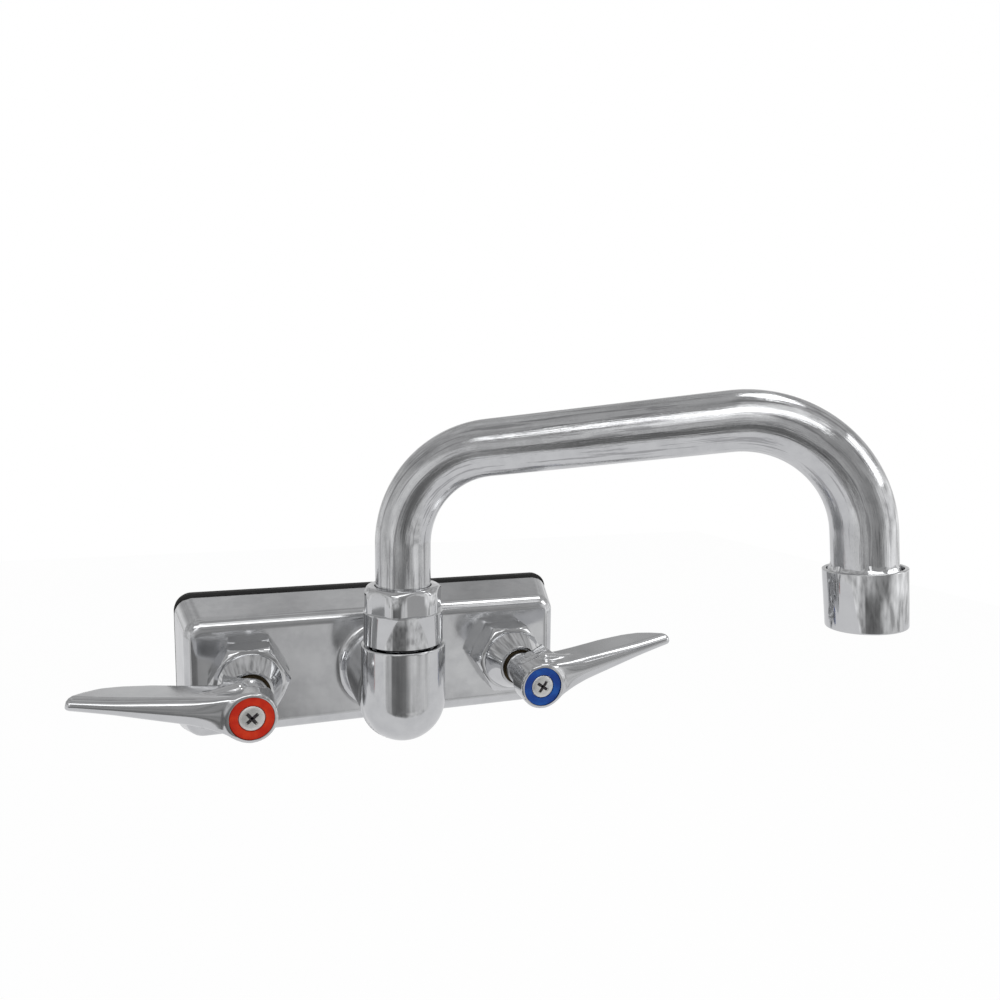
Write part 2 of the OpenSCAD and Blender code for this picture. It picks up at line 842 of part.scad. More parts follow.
// The tube as one hollow sweep: outer rings first, then the bore's rings
module spout_tube() {
    rings = len(tube_stations);
    outer = [for (station = tube_stations) each tube_ring(station, tube_r)];
    bore = [for (station = tube_stations) each tube_ring(station, tube_bore_r)];
    // Index of point k of ring i, counted round the ring
    function at(i, k) = i * tube_sides + k % tube_sides;
    inside = rings * tube_sides;
    last = rings - 1;
    walls = [for (i = [0 : last - 1], k = [0 : tube_sides - 1], wall = [0, 1])
        wall == 0
            ? [at(i, k), at(i, k + 1), at(i + 1, k + 1), at(i + 1, k)]
            : [inside + at(i, k), inside + at(i + 1, k), inside + at(i + 1, k + 1),
               inside + at(i, k + 1)]];
    ends = [for (k = [0 : tube_sides - 1], end = [0, last])
        end == 0
            ? [at(0, k + 1), at(0, k), inside + at(0, k), inside + at(0, k + 1)]
            : [at(last, k), at(last, k + 1), inside + at(last, k + 1), inside + at(last, k)]];
    color(chrome)
        on_spout()
            polyhedron(points = concat(outer, bore), faces = concat(walls, ends));
}

function sleeve_seal_z(share) = sleeve_gap + share * (nipple_top - sleeve_gap);

module spout_sleeve() {
    spigot_r = tube_bore_r - thread_fit;
    color(bare_brass)
        on_spout()
            difference() {
                union() {
                    translate([0, 0, sleeve_gap])
                        cylinder(r = sleeve_r, h = z_tube - sleeve_gap);
                    translate([0, 0, z_flange])
                        cylinder(r = sleeve_flange_r, h = sleeve_flange_t);
                    translate([0, 0, z_tube])
                        cylinder(r = spigot_r, h = sleeve_spigot_h);
                }
                translate([0, 0, sleeve_gap - overrun])
                    cylinder(r = sleeve_bore_r, h = z_tube + sleeve_spigot_h + overrun);
                for (share = sleeve_seal_shares)
                    translate([0, 0, sleeve_seal_z(share) - sleeve_seal_cs / 2 - face_gap])
                        ring(sleeve_r + overrun, sleeve_r - sleeve_seal_cs,
                             sleeve_seal_cs + 2 * face_gap);
            }
}

module sleeve_seals() {
    color(black_rubber)
        on_spout()
            for (share = sleeve_seal_shares)
                translate([0, 0, sleeve_seal_z(share)])
                    torus(sleeve_r - sleeve_seal_cs / 2 + run_fit / 2,
                          sleeve_seal_cs / 2 - run_fit / 4);
}

module tip_ring() {
    color(bare_brass)
        on_tip()
            translate([0, 0, tip_ring_recess - aerator_engage])
                ring(tip_ring_r, tube_r + thread_fit, aerator_engage - tip_ring_recess);
}

module aerator_housing() {
    inner_h = aerator_h - aerator_lip_h;
    color(chrome)
        on_tip()
            translate([0, 0, -aerator_engage])
                difference() {
                    union() {
                        cylinder(r1 = aerator_d / 2 - aerator_edge_r, r2 = aerator_d / 2,
                                 h = aerator_edge_r);
                        translate([0, 0, aerator_edge_r])
                            cylinder(r1 = aerator_d / 2, r2 = aerator_low_d / 2,
                                     h = aerator_h - 2 * aerator_edge_r);
                        translate([0, 0, aerator_h - aerator_edge_r])
                            cylinder(r1 = aerator_low_d / 2,
                                     r2 = aerator_low_d / 2 - aerator_edge_r,
                                     h = aerator_edge_r);
                    }
                    translate([0, 0, -overrun])
                        cylinder(r = aerator_bore_r, h = inner_h + overrun);
                    cylinder(r = aerator_bore_r - aerator_lip_w, h = aerator_h + overrun);
                }
}

module aerator_washer() {
    color(black_rubber)
        on_tip()
            ring(insert_r, tube_bore_r, aerator_washer_t);
}

// Plastic insert: a drilled plate on a short skirt that stands on the screen
module aerator_insert() {
    insert_h = aerator_low - aerator_lip_h - aerator_washer_t - screen_t;
    color(pale_plastic)
        on_tip()
            translate([0, 0, aerator_washer_t])
                difference() {
                    cylinder(r = insert_r, h = insert_h);
                    translate([0, 0, insert_plate_t])
                        cylinder(r = insert_r - insert_skirt_wall, h = insert_h);
                    for (k = [0 : insert_holes - 1])
                        rotate([0, 0, 360 * k / insert_holes])
                            translate([tube_bore_r / 2, 0, -overrun])
                                cylinder(r = insert_hole_r, h = insert_plate_t + 2 * overrun);
                }
}

module aerator_screen() {
    color(steel)
        on_tip()
            translate([0, 0, aerator_low - aerator_lip_h - screen_t])
                difference() {
                    cylinder(r = insert_r, h = screen_t);
                    translate([0, 0, -overrun]) {
                        cylinder(r = screen_hole_r, h = screen_t + 2 * overrun);
                        for (loop = [1 : screen_rings], k = [0 : 6 * loop - 1])
                            rotate([0, 0, 60 * k / loop])
                                translate([loop * screen_hole_pitch, 0, 0])
                                    cylinder(r = screen_hole_r, h = screen_t + 2 * overrun);
                    }
                }
}

body_casting();
wall_gasket();
spout_nut();
swivel_washer();
inlet_shank(-1);  // inlet_shank_hot
inlet_shank(1);  // inlet_shank_cold
mount_washer(-1);  // mount_washer_hot
mount_washer(1);  // mount_washer_cold
lock_nut(-1);  // lock_nut_hot
lock_nut(1);  // lock_nut_cold
seat_seal(-1);  // seat_seal_hot
seat_seal(1);  // seat_seal_cold
fixed_disc(-1);  // fixed_disc_hot
fixed_disc(1);  // fixed_disc_cold
cartridge(-1);  // cartridge_hot
cartridge(1);  // cartridge_cold
cartridge_seal(-1);  // cartridge_seal_hot
cartridge_seal(1);  // cartridge_seal_cold
bonnet_nut(-1);  // bonnet_nut_hot
bonnet_nut(1);  // bonnet_nut_cold
moving_disc(-1);  // moving_disc_hot
moving_disc(1);  // moving_disc_cold
stem(-1);  // stem_hot
stem(1);  // stem_cold
stem_seals(-1);  // stem_seals_hot
stem_seals(1);  // stem_seals_cold
stem_clip(-1);  // stem_clip_hot
stem_clip(1);  // stem_clip_cold
lever_handle(-1);  // lever_handle_hot
lever_handle(1);  // lever_handle_cold
index_ring(-1);  // index_ring_hot
index_ring(1);  // index_ring_cold
handle_screw(-1);  // handle_screw_hot
handle_screw(1);  // handle_screw_cold
spout_tube();
spout_sleeve();
sleeve_seals();
tip_ring();
aerator_housing();
aerator_washer();
aerator_insert();
aerator_screen();
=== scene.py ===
import json
import math

import bmesh
import bpy
import numpy as np
from mathutils import Matrix, Vector


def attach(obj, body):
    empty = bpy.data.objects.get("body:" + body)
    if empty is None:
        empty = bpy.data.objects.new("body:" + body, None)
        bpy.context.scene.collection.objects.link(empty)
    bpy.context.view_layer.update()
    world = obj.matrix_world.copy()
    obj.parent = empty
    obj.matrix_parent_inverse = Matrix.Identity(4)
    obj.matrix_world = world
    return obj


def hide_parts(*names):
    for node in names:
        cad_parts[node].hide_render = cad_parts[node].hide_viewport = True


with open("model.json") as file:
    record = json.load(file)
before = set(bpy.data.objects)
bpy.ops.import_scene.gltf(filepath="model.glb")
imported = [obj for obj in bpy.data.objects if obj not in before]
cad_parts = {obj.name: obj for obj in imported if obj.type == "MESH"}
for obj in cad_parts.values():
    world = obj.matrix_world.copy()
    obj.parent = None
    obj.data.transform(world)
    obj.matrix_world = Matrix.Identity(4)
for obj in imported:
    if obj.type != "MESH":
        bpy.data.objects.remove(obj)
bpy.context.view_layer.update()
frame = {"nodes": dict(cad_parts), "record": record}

scene = bpy.context.scene
scene.view_settings.view_transform = "Standard"
MM = 0.001

# Sizes of the faucet that several pieces share, in millimetres
VALVE_X = 50.8
OUTLET_OUT = 64.4
FRONT = 24.0
HOT, COLD = -1, 1
SIDE_NAME = {HOT: "hot", COLD: "cold"}
LEVER_RISE = {HOT: 10.8, COLD: 13.9}
GASKET = 3.0
BODY_W, BODY_H, BODY_SINK = 156.2, 54.8, 0.4
SIDE_DRAFT, TOP_DRAFT = 4.95, 5.5
BODY_CORNER, BODY_EDGE, REAR_EDGE = 6.5, 3.4, 0.9
NECK_R, BARREL_R, BARREL_TOP, RIM_START = 15.7, 14.6, 19.8, 18.9
TUBE_R, TUBE_FOOT, SPOUT_TURN = 9.525, 32.0, 58.4
HUB_BACK, FACE, LEVER_L = 46.6, 69.3, 54.7
NUT_TURN, TIP_LEAN = 7.5, 4.5
TUBE_WALL, SPOUT_BORE = 1.1, 9.95
GASKET_LIFT = 0.75
MAP_PER_MM = 0.01
SLOT_TURNS = (40, 130)
BOX_CORNERS = ((-1, -1), (1, -1), (1, 1), (-1, 1))
LATHE_STEPS = 128


# ---------------------------------------------------------------- camera

def photo_camera():
    """The camera where the photographer stood, a little above and to the left of the valves."""
    stand, yaw, pitch, roll = Vector((-53.973, -324.477, 97.512)) * MM, 18.918, 5.976, 0.541
    lens = bpy.data.cameras.new("photo_camera")
    sensor, focal_pixels, picture_pixels = 36.0, 774.716, 1000.0
    lens.sensor_width = sensor
    lens.lens = sensor * focal_pixels / picture_pixels
    lens.clip_start = 0.01
    camera = bpy.data.objects.new("photo_camera", lens)
    scene.collection.objects.link(camera)
    yaw, pitch, roll = (math.radians(a) for a in (yaw, pitch, roll))
    ahead = Vector((math.sin(yaw) * math.cos(pitch), math.cos(yaw) * math.cos(pitch),
                    -math.sin(pitch)))
    level = Vector((math.cos(yaw), -math.sin(yaw), 0))
    above = level.cross(ahead)
    right = math.cos(roll) * level + math.sin(roll) * above
    up = -math.sin(roll) * level + math.cos(roll) * above
    turn = Matrix((right, up, -ahead)).transposed().to_4x4()
    camera.matrix_world = Matrix.Translation(stand) @ turn
    scene.camera = camera


# ---------------------------------------------------------------- node helpers

class Wiring:
    """A short way to add and join shader nodes in one tree."""

    def __init__(self, tree):
        self.tree = tree

    def add(self, kind, **values):
        """A new node; inputs maps its sockets to a value or to another node's socket."""
        node = self.tree.nodes.new("ShaderNode" + kind)
        inputs = values.pop("inputs", {})
        for name, value in values.items():
            setattr(node, name, value)
        for name, value in inputs.items():
            if isinstance(value, bpy.types.NodeSocket):
                self.tree.links.new(value, node.inputs[name])
            else:
                node.inputs[name].default_value = value
        return node

    def math(self, operation, a, b=0.0):
        """One sum of two values."""
        return self.add("Math", operation=operation, inputs={0: a, 1: b}).outputs[0]

    def ramp(self, fac, stops):
        """An eased ramp through stops of (place, grey or colour)."""
        node = self.add("ValToRGB", inputs={"Fac": fac})
        ramp = node.color_ramp
        ramp.interpolation = "EASE"
        while len(ramp.elements) < len(stops):
            ramp.elements.new(0.5)
        for element, (place, tone) in zip(ramp.elements, stops):
            element.position = place
            element.color = (tone, tone, tone, 1) if isinstance(tone, float) else (*tone, 1)
        return node.outputs["Color"]

    def mix(self, fac, a, b, blend="MIX"):
        """Colour a with a share fac of colour b."""
        node = self.add("Mix", data_type="RGBA", blend_type=blend)
        for socket, value in zip((node.inputs[0], node.inputs[6], node.inputs[7]), (fac, a, b)):
            if isinstance(value, bpy.types.NodeSocket):
                self.tree.links.new(value, socket)
            else:
                socket.default_value = value
        return node.outputs[2]


# ---------------------------------------------------------------- light and stage

def studio_world():
    """White backdrop and floor; towards the camera a grey room with dark and pale panels."""
    world = bpy.data.worlds.new("studio")
    scene.world = world
    world.use_nodes = True
    world.node_tree.nodes.clear()
    w = Wiring(world.node_tree)
    split = w.add("SeparateXYZ", inputs={0: w.add("TexCoord").outputs["Generated"]})
    x, y, z = split.outputs
    # Height runs from 0 straight down to 1 straight up; bearing is 0.5 straight out of the wall
    height = w.math("ADD", w.math("MULTIPLY", z, 0.5), 0.5)
    turn = w.math("ARCTAN2", x, w.math("MULTIPLY", y, -1.0))
    bearing = w.math("ADD", w.math("MULTIPLY", turn, 0.5 / math.pi), 0.5)
    # What the barrel shows, a little below level, and what the riser shows, close to level
    low_panels = w.ramp(bearing, [
        (0.0, 0.55), (0.08, 0.55), (0.10, 0.63), (0.139, 0.50), (0.186, 0.50), (0.208, 0.88),
        (0.306, 0.90), (0.335, 0.80), (0.361, 0.49), (0.372, 0.50), (0.385, 0.17), (0.483, 0.18),
        (0.497, 0.38), (0.511, 0.50), (0.53, 0.70), (0.625, 0.72), (0.64, 0.67), (0.75, 0.66),
        (0.78, 0.55), (0.80, 0.42), (0.93, 0.48), (1.0, 0.55)])
    level_panels = w.ramp(bearing, [
        (0.0, 0.70), (0.07, 0.70), (0.128, 0.78), (0.17, 0.68), (0.208, 0.60), (0.27, 0.60),
        (0.297, 0.70), (0.335, 0.76), (0.36, 0.68), (0.375, 0.56), (0.398, 0.66), (0.42, 0.56),
        (0.445, 0.46), (0.47, 0.38), (0.492, 0.32), (0.516, 0.29), (0.54, 0.32), (0.563, 0.46),
        (0.588, 0.67), (0.613, 0.97), (0.81, 0.95), (0.87, 0.72), (1.0, 0.70)])
    panels = w.mix(w.ramp(height, [(0.36, 0.0), (0.45, 1.0)]), low_panels, level_panels)
    above = w.ramp(bearing, [(0.0, 0.48), (0.25, 0.46), (0.5, 0.40), (0.75, 0.50), (1.0, 0.46)])
    below = w.ramp(height, [(0.02, 0.85), (0.10, 0.76), (0.19, 0.62)])
    low_share = w.ramp(height, [(0.14, 1.0), (0.27, 0.0)])
    high_share = w.ramp(height, [(0.56, 0.0), (0.70, 1.0)])
    room = w.mix(high_share, w.mix(low_share, panels, below), above)
    # A pale ceiling panel over the camera, and the clutter of the room as soft light and dark
    over = w.math("MULTIPLY", w.ramp(bearing, [(0.43, 0.0), (0.47, 1.0), (0.60, 1.0), (0.66, 0.0)]),
                  w.ramp(height, [(0.80, 0.0), (0.85, 1.0), (0.93, 1.0), (0.96, 0.0)]))
    room = w.mix(over, room, (1, 1, 1, 1))
    # The leaning window that lights the top of the far bend
    lean = w.math("SUBTRACT", w.math("ADD", bearing, 0.07), w.math("MULTIPLY", height, 0.1))
    window = w.math("MULTIPLY",
                    w.ramp(lean, [(0.385, 0.0), (0.402, 1.0), (0.437, 1.0), (0.452, 0.0)]),
                    w.ramp(height, [(0.58, 0.0), (0.68, 1.0), (0.92, 1.0), (0.96, 0.0)]))
    room = w.mix(window, room, (1.25, 1.25, 1.25, 1))
    stretched = [w.math("MULTIPLY", way, per) for way, per in ((x, 5.0), (y, 5.0), (z, 13.0))]
    spots = w.add("CombineXYZ", inputs=dict(enumerate(stretched))).outputs[0]
    clutter = w.add("TexNoise", inputs={"Vector": spots, "Scale": 1.0, "Detail": 4.0,
                                        "Roughness": 0.6}).outputs["Fac"]
    room = w.mix(1.0, room, w.ramp(clutter, [(0.36, 0.60), (0.5, 1.0), (0.64, 1.28)]), "MULTIPLY")
    path = w.add("LightPath")
    metal = w.add("Background", inputs={"Color": room, "Strength": 1.0})
    plain = w.add("Background", inputs={"Color": (1, 1, 1, 1), "Strength": 0.8})
    white = w.add("Background", inputs={"Color": (1, 1, 1, 1), "Strength": 1.0})
    clear = w.math("MAXIMUM", path.outputs["Is Camera Ray"], path.outputs["Is Transmission Ray"])
    lit = w.add("MixShader", inputs={0: path.outputs["Is Glossy Ray"],
                                     1: plain.outputs[0], 2: metal.outputs[0]})
    seen = w.add("MixShader", inputs={0: clear, 1: lit.outputs[0], 2: white.outputs[0]})
    w.add("OutputWorld", inputs={"Surface": seen.outputs[0]})


def floor_and_lamps():
    """The pale floor under the faucet and three soft lamps."""
    floor = bpy.data.meshes.new("floor")
    edge, near, far, low = 1.6, -0.5, 2.2, -0.32
    floor.from_pydata([(-edge, near, low), (edge, near, low), (edge, far, low), (-edge, far, low)],
                      [], [(0, 1, 2, 3)])
    ground = bpy.data.objects.new("floor", floor)
    scene.collection.objects.link(ground)
    paint = bpy.data.materials.new("pale_floor")
    paint.use_nodes = True
    paint.node_tree.nodes.clear()
    w = Wiring(paint.node_tree)
    path = w.add("LightPath")
    seen = w.math("MAXIMUM", path.outputs["Is Camera Ray"], path.outputs["Is Glossy Ray"])
    seen = w.math("MAXIMUM", seen, path.outputs["Is Transmission Ray"])
    share = w.math("MULTIPLY", seen, 0.95)
    glow_tone = w.mix(path.outputs["Is Glossy Ray"], (1, 1, 1, 1), (0.78, 0.78, 0.79, 1))
    grain = w.add("TexNoise", inputs={"Scale": 6.0, "Detail": 3.0}).outputs["Fac"]
    tone = w.ramp(grain, [(0.3, 0.90), (0.7, 0.94)])
    matt = w.add("BsdfDiffuse", inputs={"Color": tone})
    glow = w.add("Emission", inputs={"Color": glow_tone, "Strength": 1.0})
    both = w.add("MixShader", inputs={0: share, 1: matt.outputs[0], 2: glow.outputs[0]})
    w.add("OutputMaterial", inputs={"Surface": both.outputs[0]})
    floor.materials.append(paint)
    for name, place, aim, wide, deep, power in (
            ("strip_lamp", (-0.25, -0.85, 0.80), (0.0, -0.06, 0.03), 1.30, 0.26, 1.5),
            ("side_lamp", (0.85, -0.50, 0.50), (0.03, -0.06, 0.02), 0.40, 0.40, 0.9),
            ("top_lamp", (0.42, -0.02, 0.90), (0.08, -0.10, 0.07), 0.34, 0.34, 1.0)):
        lamp = bpy.data.lights.new(name, "AREA")
        lamp.shape, lamp.size, lamp.size_y, lamp.energy = "RECTANGLE", wide, deep, power
        light = bpy.data.objects.new(name, lamp)
        light.location = place
        light.rotation_euler = (Vector(aim) - Vector(place)).to_track_quat("-Z", "Y").to_euler()
        scene.collection.objects.link(light)


# ---------------------------------------------------------------- mesh making

def keep_piece(name, mesh, material, body, node):
    """Puts a mesh in the scene on its body and hides the node it replaces; node is left out where
    none fits.
    """
    piece = bpy.data.objects.new(name, mesh)
    scene.collection.objects.link(piece)
    mesh.materials.clear()
    mesh.materials.append(material)
    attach(piece, body)
    if node:
        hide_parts(node)
    return piece


def out_of_wall(x=0.0):
    """Millimetres along a line out of the wall become metres in the faucet's frame."""
    return (Matrix.Translation((x * MM, 0, 0)) @ Matrix.Rotation(math.pi / 2, 4, "X")
            @ Matrix.Scale(MM, 4))


def on_handle(side):
    """The lever's own frame: x along the lever, y up across it, z out along the stem."""
    rise = Matrix.Rotation(math.radians(LEVER_RISE[side]), 4, "Z")
    flip = Matrix.Scale(-1, 4, (1, 0, 0)) if side == HOT else Matrix.Identity(4)
    return out_of_wall(side * VALVE_X) @ flip @ rise


def on_outlet():
    """Up along the barrel, from the level of the valves."""
    return Matrix.Translation((0, -OUTLET_OUT * MM, 0)) @ Matrix.Scale(MM, 4)


def finish_mesh(name, grid, place, crease=35.0):
    """Turns a bmesh into a mesh with clean outward faces, smooth but for its true edges."""
    grid.transform(place)
    bmesh.ops.recalc_face_normals(grid, faces=grid.faces)
    mesh = bpy.data.meshes.new(name)
    grid.to_mesh(mesh)
    grid.free()
    mesh.shade_smooth()
    mesh.set_sharp_from_angle(angle=math.radians(crease))
    return mesh


def skin_rings(grid, rings, closed=False):
    """Faces between neighbouring rings of points, each ring closed on itself."""
    rows = [[grid.verts.new(p) for p in ring] for ring in rings]
    count = len(rows[0])
    pairs = list(zip(rows, rows[1:])) + ([(rows[-1], rows[0])] if closed else [])
    for low, high in pairs:
        for k in range(count):
            n = (k + 1) % count
            grid.faces.new((low[k], low[n], high[n], high[k]))
    return rows


def circle(r, z, steps):
    """Points round the z axis at one height."""
    return [(r * math.cos(a), r * math.sin(a), z)
            for a in (math.tau * k / steps for k in range(steps))]


def eased(profile):
    """A closed lathe profile of (radius, height, corner radius) with its corners rounded."""
    bends, points = 4, []
    count = len(profile)
    for k, (r, z, corner) in enumerate(profile):
        here = Vector((r, z))
        if corner <= 0:
            points.append(here)
            continue
        before = Vector(profile[k - 1][:2]) - here
        after = Vector(profile[(k + 1) % count][:2]) - here
        reach = min(corner, before.length * 0.45, after.length * 0.45)
        start, end = here + before.normalized() * reach, here + after.normalized() * reach
        for s in range(bends + 1):
            f = s / bends
            points.append((1 - f) ** 2 * start + 2 * f * (1 - f) * here + f * f * end)
    return points


def lathe(name, profile, place):
    """A turned ring: the closed profile is swept round the local z axis."""
    grid = bmesh.new()
    skin_rings(grid, [circle(p.x, p.y, LATHE_STEPS) for p in eased(profile)], closed=True)
    return finish_mesh(name, grid, place)


def soft_least(a, b, blend):
    """The smaller of two sizes, with the corner between them rounded by blend."""
    h = max(blend - abs(a - b), 0.0) / blend
    return min(a, b) - h * h * blend * 0.25


def hexagon_reach(turn, flat):
    """How far a hexagon's side lies from its middle in one direction."""
    bend = (turn + math.pi / 6) % (math.pi / 3) - math.pi / 6
    return flat / math.cos(bend)


def hexagon_turns():
    """Directions round a hexagon, close together at its corners."""
    fine, coarse, turns = 6, 8, []
    for side in range(6):
        corner = side * math.pi / 3 + math.pi / 6
        near = [0.004 * 1.9 ** k for k in range(fine)]
        spread = [near[-1] + (math.pi / 3 - 2 * near[-1]) * k / coarse for k in range(1, coarse)]
        turns += [corner] + [corner + n for n in near] + [corner + s for s in spread]
        turns += [corner + math.pi / 3 - n for n in reversed(near)]
    return turns


def wrench_nut(name, levels, bore, place, turn_by=0.0, edge=0.5):
    """A nut with a hexagon: levels are (height, half flat or None, round limit) from end to end."""
    turns = hexagon_turns()
    rings = []
    for height, flat, limit in levels:
        ring = []
        for turn in turns:
            r = limit if flat is None else soft_least(hexagon_reach(turn, flat), limit, edge)
            ring.append((r * math.cos(turn + turn_by), r * math.sin(turn + turn_by), height))
        rings.append(ring)
    for r, height in bore:
        rings.append([(r * math.cos(t + turn_by), r * math.sin(t + turn_by), height)
                      for t in turns])
    grid = bmesh.new()
    skin_rings(grid, rings, closed=True)
    return finish_mesh(name, grid, place, 40.0)


def cut_with(mesh, tool_grid):
    """Takes the tool's shape out of the mesh and keeps its true edges sharp."""
    body = bpy.data.objects.new("worked", mesh)
    tool_mesh = bpy.data.meshes.new("tool")
    tool_grid.to_mesh(tool_mesh)
    tool_grid.free()
    tool = bpy.data.objects.new("tool", tool_mesh)
    for worked in (body, tool):
        scene.collection.objects.link(worked)
    cut = body.modifiers.new("cut", "BOOLEAN")
    cut.operation, cut.solver, cut.object = "DIFFERENCE", "EXACT", tool
    done = bpy.data.meshes.new_from_object(
        body.evaluated_get(bpy.context.evaluated_depsgraph_get()))
    grid = bmesh.new()
    grid.from_mesh(done)
    grid.to_mesh(mesh)
    grid.free()
    for worked in (body, tool):
        bpy.data.objects.remove(worked)
    for spent in (done, tool_mesh):
        bpy.data.meshes.remove(spent)
    mesh.shade_smooth()
    mesh.set_sharp_from_angle(angle=math.radians(40.0))


def drill(mesh, holes, place=Matrix.Identity(4)):
    """Bores round holes along the z axis of a place: each is (radius, from, to)."""
    for r, low, high in holes:
        bit = bmesh.new()
        bmesh.ops.create_cone(bit, cap_ends=True, segments=128, radius1=r, radius2=r,
                              depth=high - low,
                              matrix=place @ Matrix.Translation((0, 0, (low + high) / 2)))
        cut_with(mesh, bit)


# ---------------------------------------------------------------- cast shapes

def blend_union(a, b, fillet):
    """Both shapes together, with a round fillet where they meet."""
    reach = np.stack([np.maximum(fillet - a, 0), np.maximum(fillet - b, 0)])
    return np.maximum(np.minimum(a, b), fillet) - np.linalg.norm(reach, axis=0)


def blend_cut(a, b, edge):
    """Where both shapes overlap, with a rounded edge."""
    reach = np.stack([np.maximum(a + edge, 0), np.maximum(b + edge, 0)])
    return np.minimum(np.maximum(a, b), -edge) + np.linalg.norm(reach, axis=0)


def cast_shape(surface, low, high, cell):
    """A fine even mesh over the surface of a cast shape, given as a distance in millimetres."""
    axes = [np.arange(a, b + cell, cell) for a, b in zip(low, high)]
    sizes = [len(a) for a in axes]
    cloud = np.stack(np.meshgrid(*axes, indexing="ij")).reshape(3, -1)
    value = surface(cloud).reshape(sizes)
    inside = value < 0
    cells = [n - 1 for n in sizes]
    total, hits = np.zeros(cells + [3]), np.zeros(cells)

    def part(array, offset):
        """The values at one corner of every cell."""
        return array[tuple(slice(o, o + n) for o, n in zip(offset, cells))]

    corners = [(i, j, k) for i in (0, 1) for j in (0, 1) for k in (0, 1)]
    for a in corners:
        for axis in range(3):
            if a[axis]:
                continue
            b = tuple(1 if n == axis else a[n] for n in range(3))
            va, vb = part(value, a), part(value, b)
            cross = (va < 0) != (vb < 0)
            share = np.where(cross, va / np.where(cross, va - vb, 1), 0)
            for n in range(3):
                total[..., n] += np.where(cross, a[n] + (share if n == axis else 0), 0)
            hits += cross
    used = hits > 0
    index = np.full(cells, -1)
    index[used] = np.arange(used.sum())
    places = np.argwhere(used) + total[used] / hits[used][:, None]
    points = (np.array(low) + places * cell).T
    for _ in range(4):
        points = points - step_to(surface, points)
    faces = []
    for axis in range(3):
        u, v = (axis + 1) % 3, (axis + 2) % 3
        inner = [slice(1, n - 1) for n in sizes]
        inner[axis] = slice(0, sizes[axis] - 1)
        ahead = list(inner)
        ahead[axis] = slice(1, sizes[axis])
        here, there = inside[tuple(inner)], inside[tuple(ahead)]
        for flag, order in ((here & ~there, 1), (~here & there, -1)):
            at = np.argwhere(flag)
            at[:, u] += 1
            at[:, v] += 1
            quad = []
            for du, dv in ((-1, -1), (0, -1), (0, 0), (-1, 0)):
                corner = at.copy()
                corner[:, u] += du
                corner[:, v] += dv
                quad.append(index[tuple(corner.T)])
            faces.append(np.stack(quad[::order], axis=1))
    return points.T, np.concatenate(faces)


def slope_of(surface, points):
    """Which way the distance grows, at each point."""
    step = 0.02
    slope = np.empty_like(points)
    for n in range(3):
        shift = np.zeros((3, 1))
        shift[n] = step
        slope[n] = (surface(points + shift) - surface(points - shift)) / (2 * step)
    return slope


def step_to(surface, points):
    """The move that takes each point back by its distance."""
    slope = slope_of(surface, points)
    return surface(points) * slope / np.maximum((slope ** 2).sum(axis=0), 0.2)


def cast_grid(surface, low, high, cell):
    """The cast shape as a bmesh, in millimetres."""
    points, faces = cast_shape(surface, low, high, cell)
    grid = bmesh.new()
    verts = [grid.verts.new(p) for p in points]
    for face in faces:
        grid.faces.new([verts[k] for k in face])
    return grid


def cut_flat(grid, at, way):
    """Cuts away what lies beyond a plane and closes the cut."""
    geometry = grid.verts[:] + grid.edges[:] + grid.faces[:]
    found = bmesh.ops.bisect_plane(grid, geom=geometry, dist=1e-5, plane_co=at, plane_no=way,
                                   clear_outer=True)
    rim = [e for e in found["geom_cut"] if isinstance(e, bmesh.types.BMEdge)]
    bmesh.ops.triangle_fill(grid, edges=rim, use_beauty=True)


# ---------------------------------------------------------------- body and spout

def body_surface(p):
    """The cast body: drafted plate, horizontal neck and upright barrel, with cast fillets."""
    x, t, z = p[0], -p[1], p[2]
    share = (t - GASKET) / (FRONT - GASKET)
    side = np.stack([np.abs(x) - (BODY_W / 2 - SIDE_DRAFT * share - BODY_CORNER),
                     np.abs(z + BODY_SINK) - (BODY_H / 2 - TOP_DRAFT * share - BODY_CORNER)])
    outline = (np.linalg.norm(np.maximum(side, 0), axis=0) + np.minimum(side.max(axis=0), 0)
               - BODY_CORNER)
    plate = blend_cut(outline / math.hypot(1, TOP_DRAFT / (FRONT - GASKET)), t - FRONT, BODY_EDGE)
    plate = blend_cut(plate, GASKET - t, REAR_EDGE)
    along = np.clip((t - FRONT) / (OUTLET_OUT - FRONT), 0, 1)
    neck = np.hypot(x, z) - (NECK_R + (BARREL_R - NECK_R) * along)
    neck = np.maximum(neck, t - OUTLET_OUT)
    neck = np.maximum(neck, BODY_EDGE - t)
    reach = np.stack([x, t - OUTLET_OUT, np.minimum(z, 0)])
    barrel = np.maximum(np.linalg.norm(reach, axis=0) - BARREL_R, z - BARREL_TOP)
    outlet = blend_union(neck, barrel, 2.0)
    return blend_union(plate, outlet, 2.6)


def cast_body():
    """The casting with its shank sockets, valve pockets, waterways and outlet socket."""
    grid = cast_grid(body_surface, (-81, -82, -30), (81, -1, 29), 0.9)
    cut_flat(grid, (0, -GASKET - 0.02, 0), (0, 1, 0))
    mesh = finish_mesh("cast_body", grid, Matrix.Identity(4), 50.0)
    shank_socket, waterway, pocket = (10.5, 1.0, 9.0), (5.1, 8.0, 12.0), (10.48, 10.5, FRONT + 1.0)
    for side in (HOT, COLD):
        drill(mesh, [shank_socket, waterway, pocket],
              Matrix.Translation((side * VALVE_X, 0, 0)) @ Matrix.Rotation(math.pi / 2, 4, "X"))
    drill(mesh, [(BARREL_R + 1.5, RIM_START, 30.0), (SPOUT_BORE, -4.0, 30.0)],
          Matrix.Translation((0, -OUTLET_OUT, 0)))
    mesh.transform(Matrix.Scale(MM, 4))
    return mesh


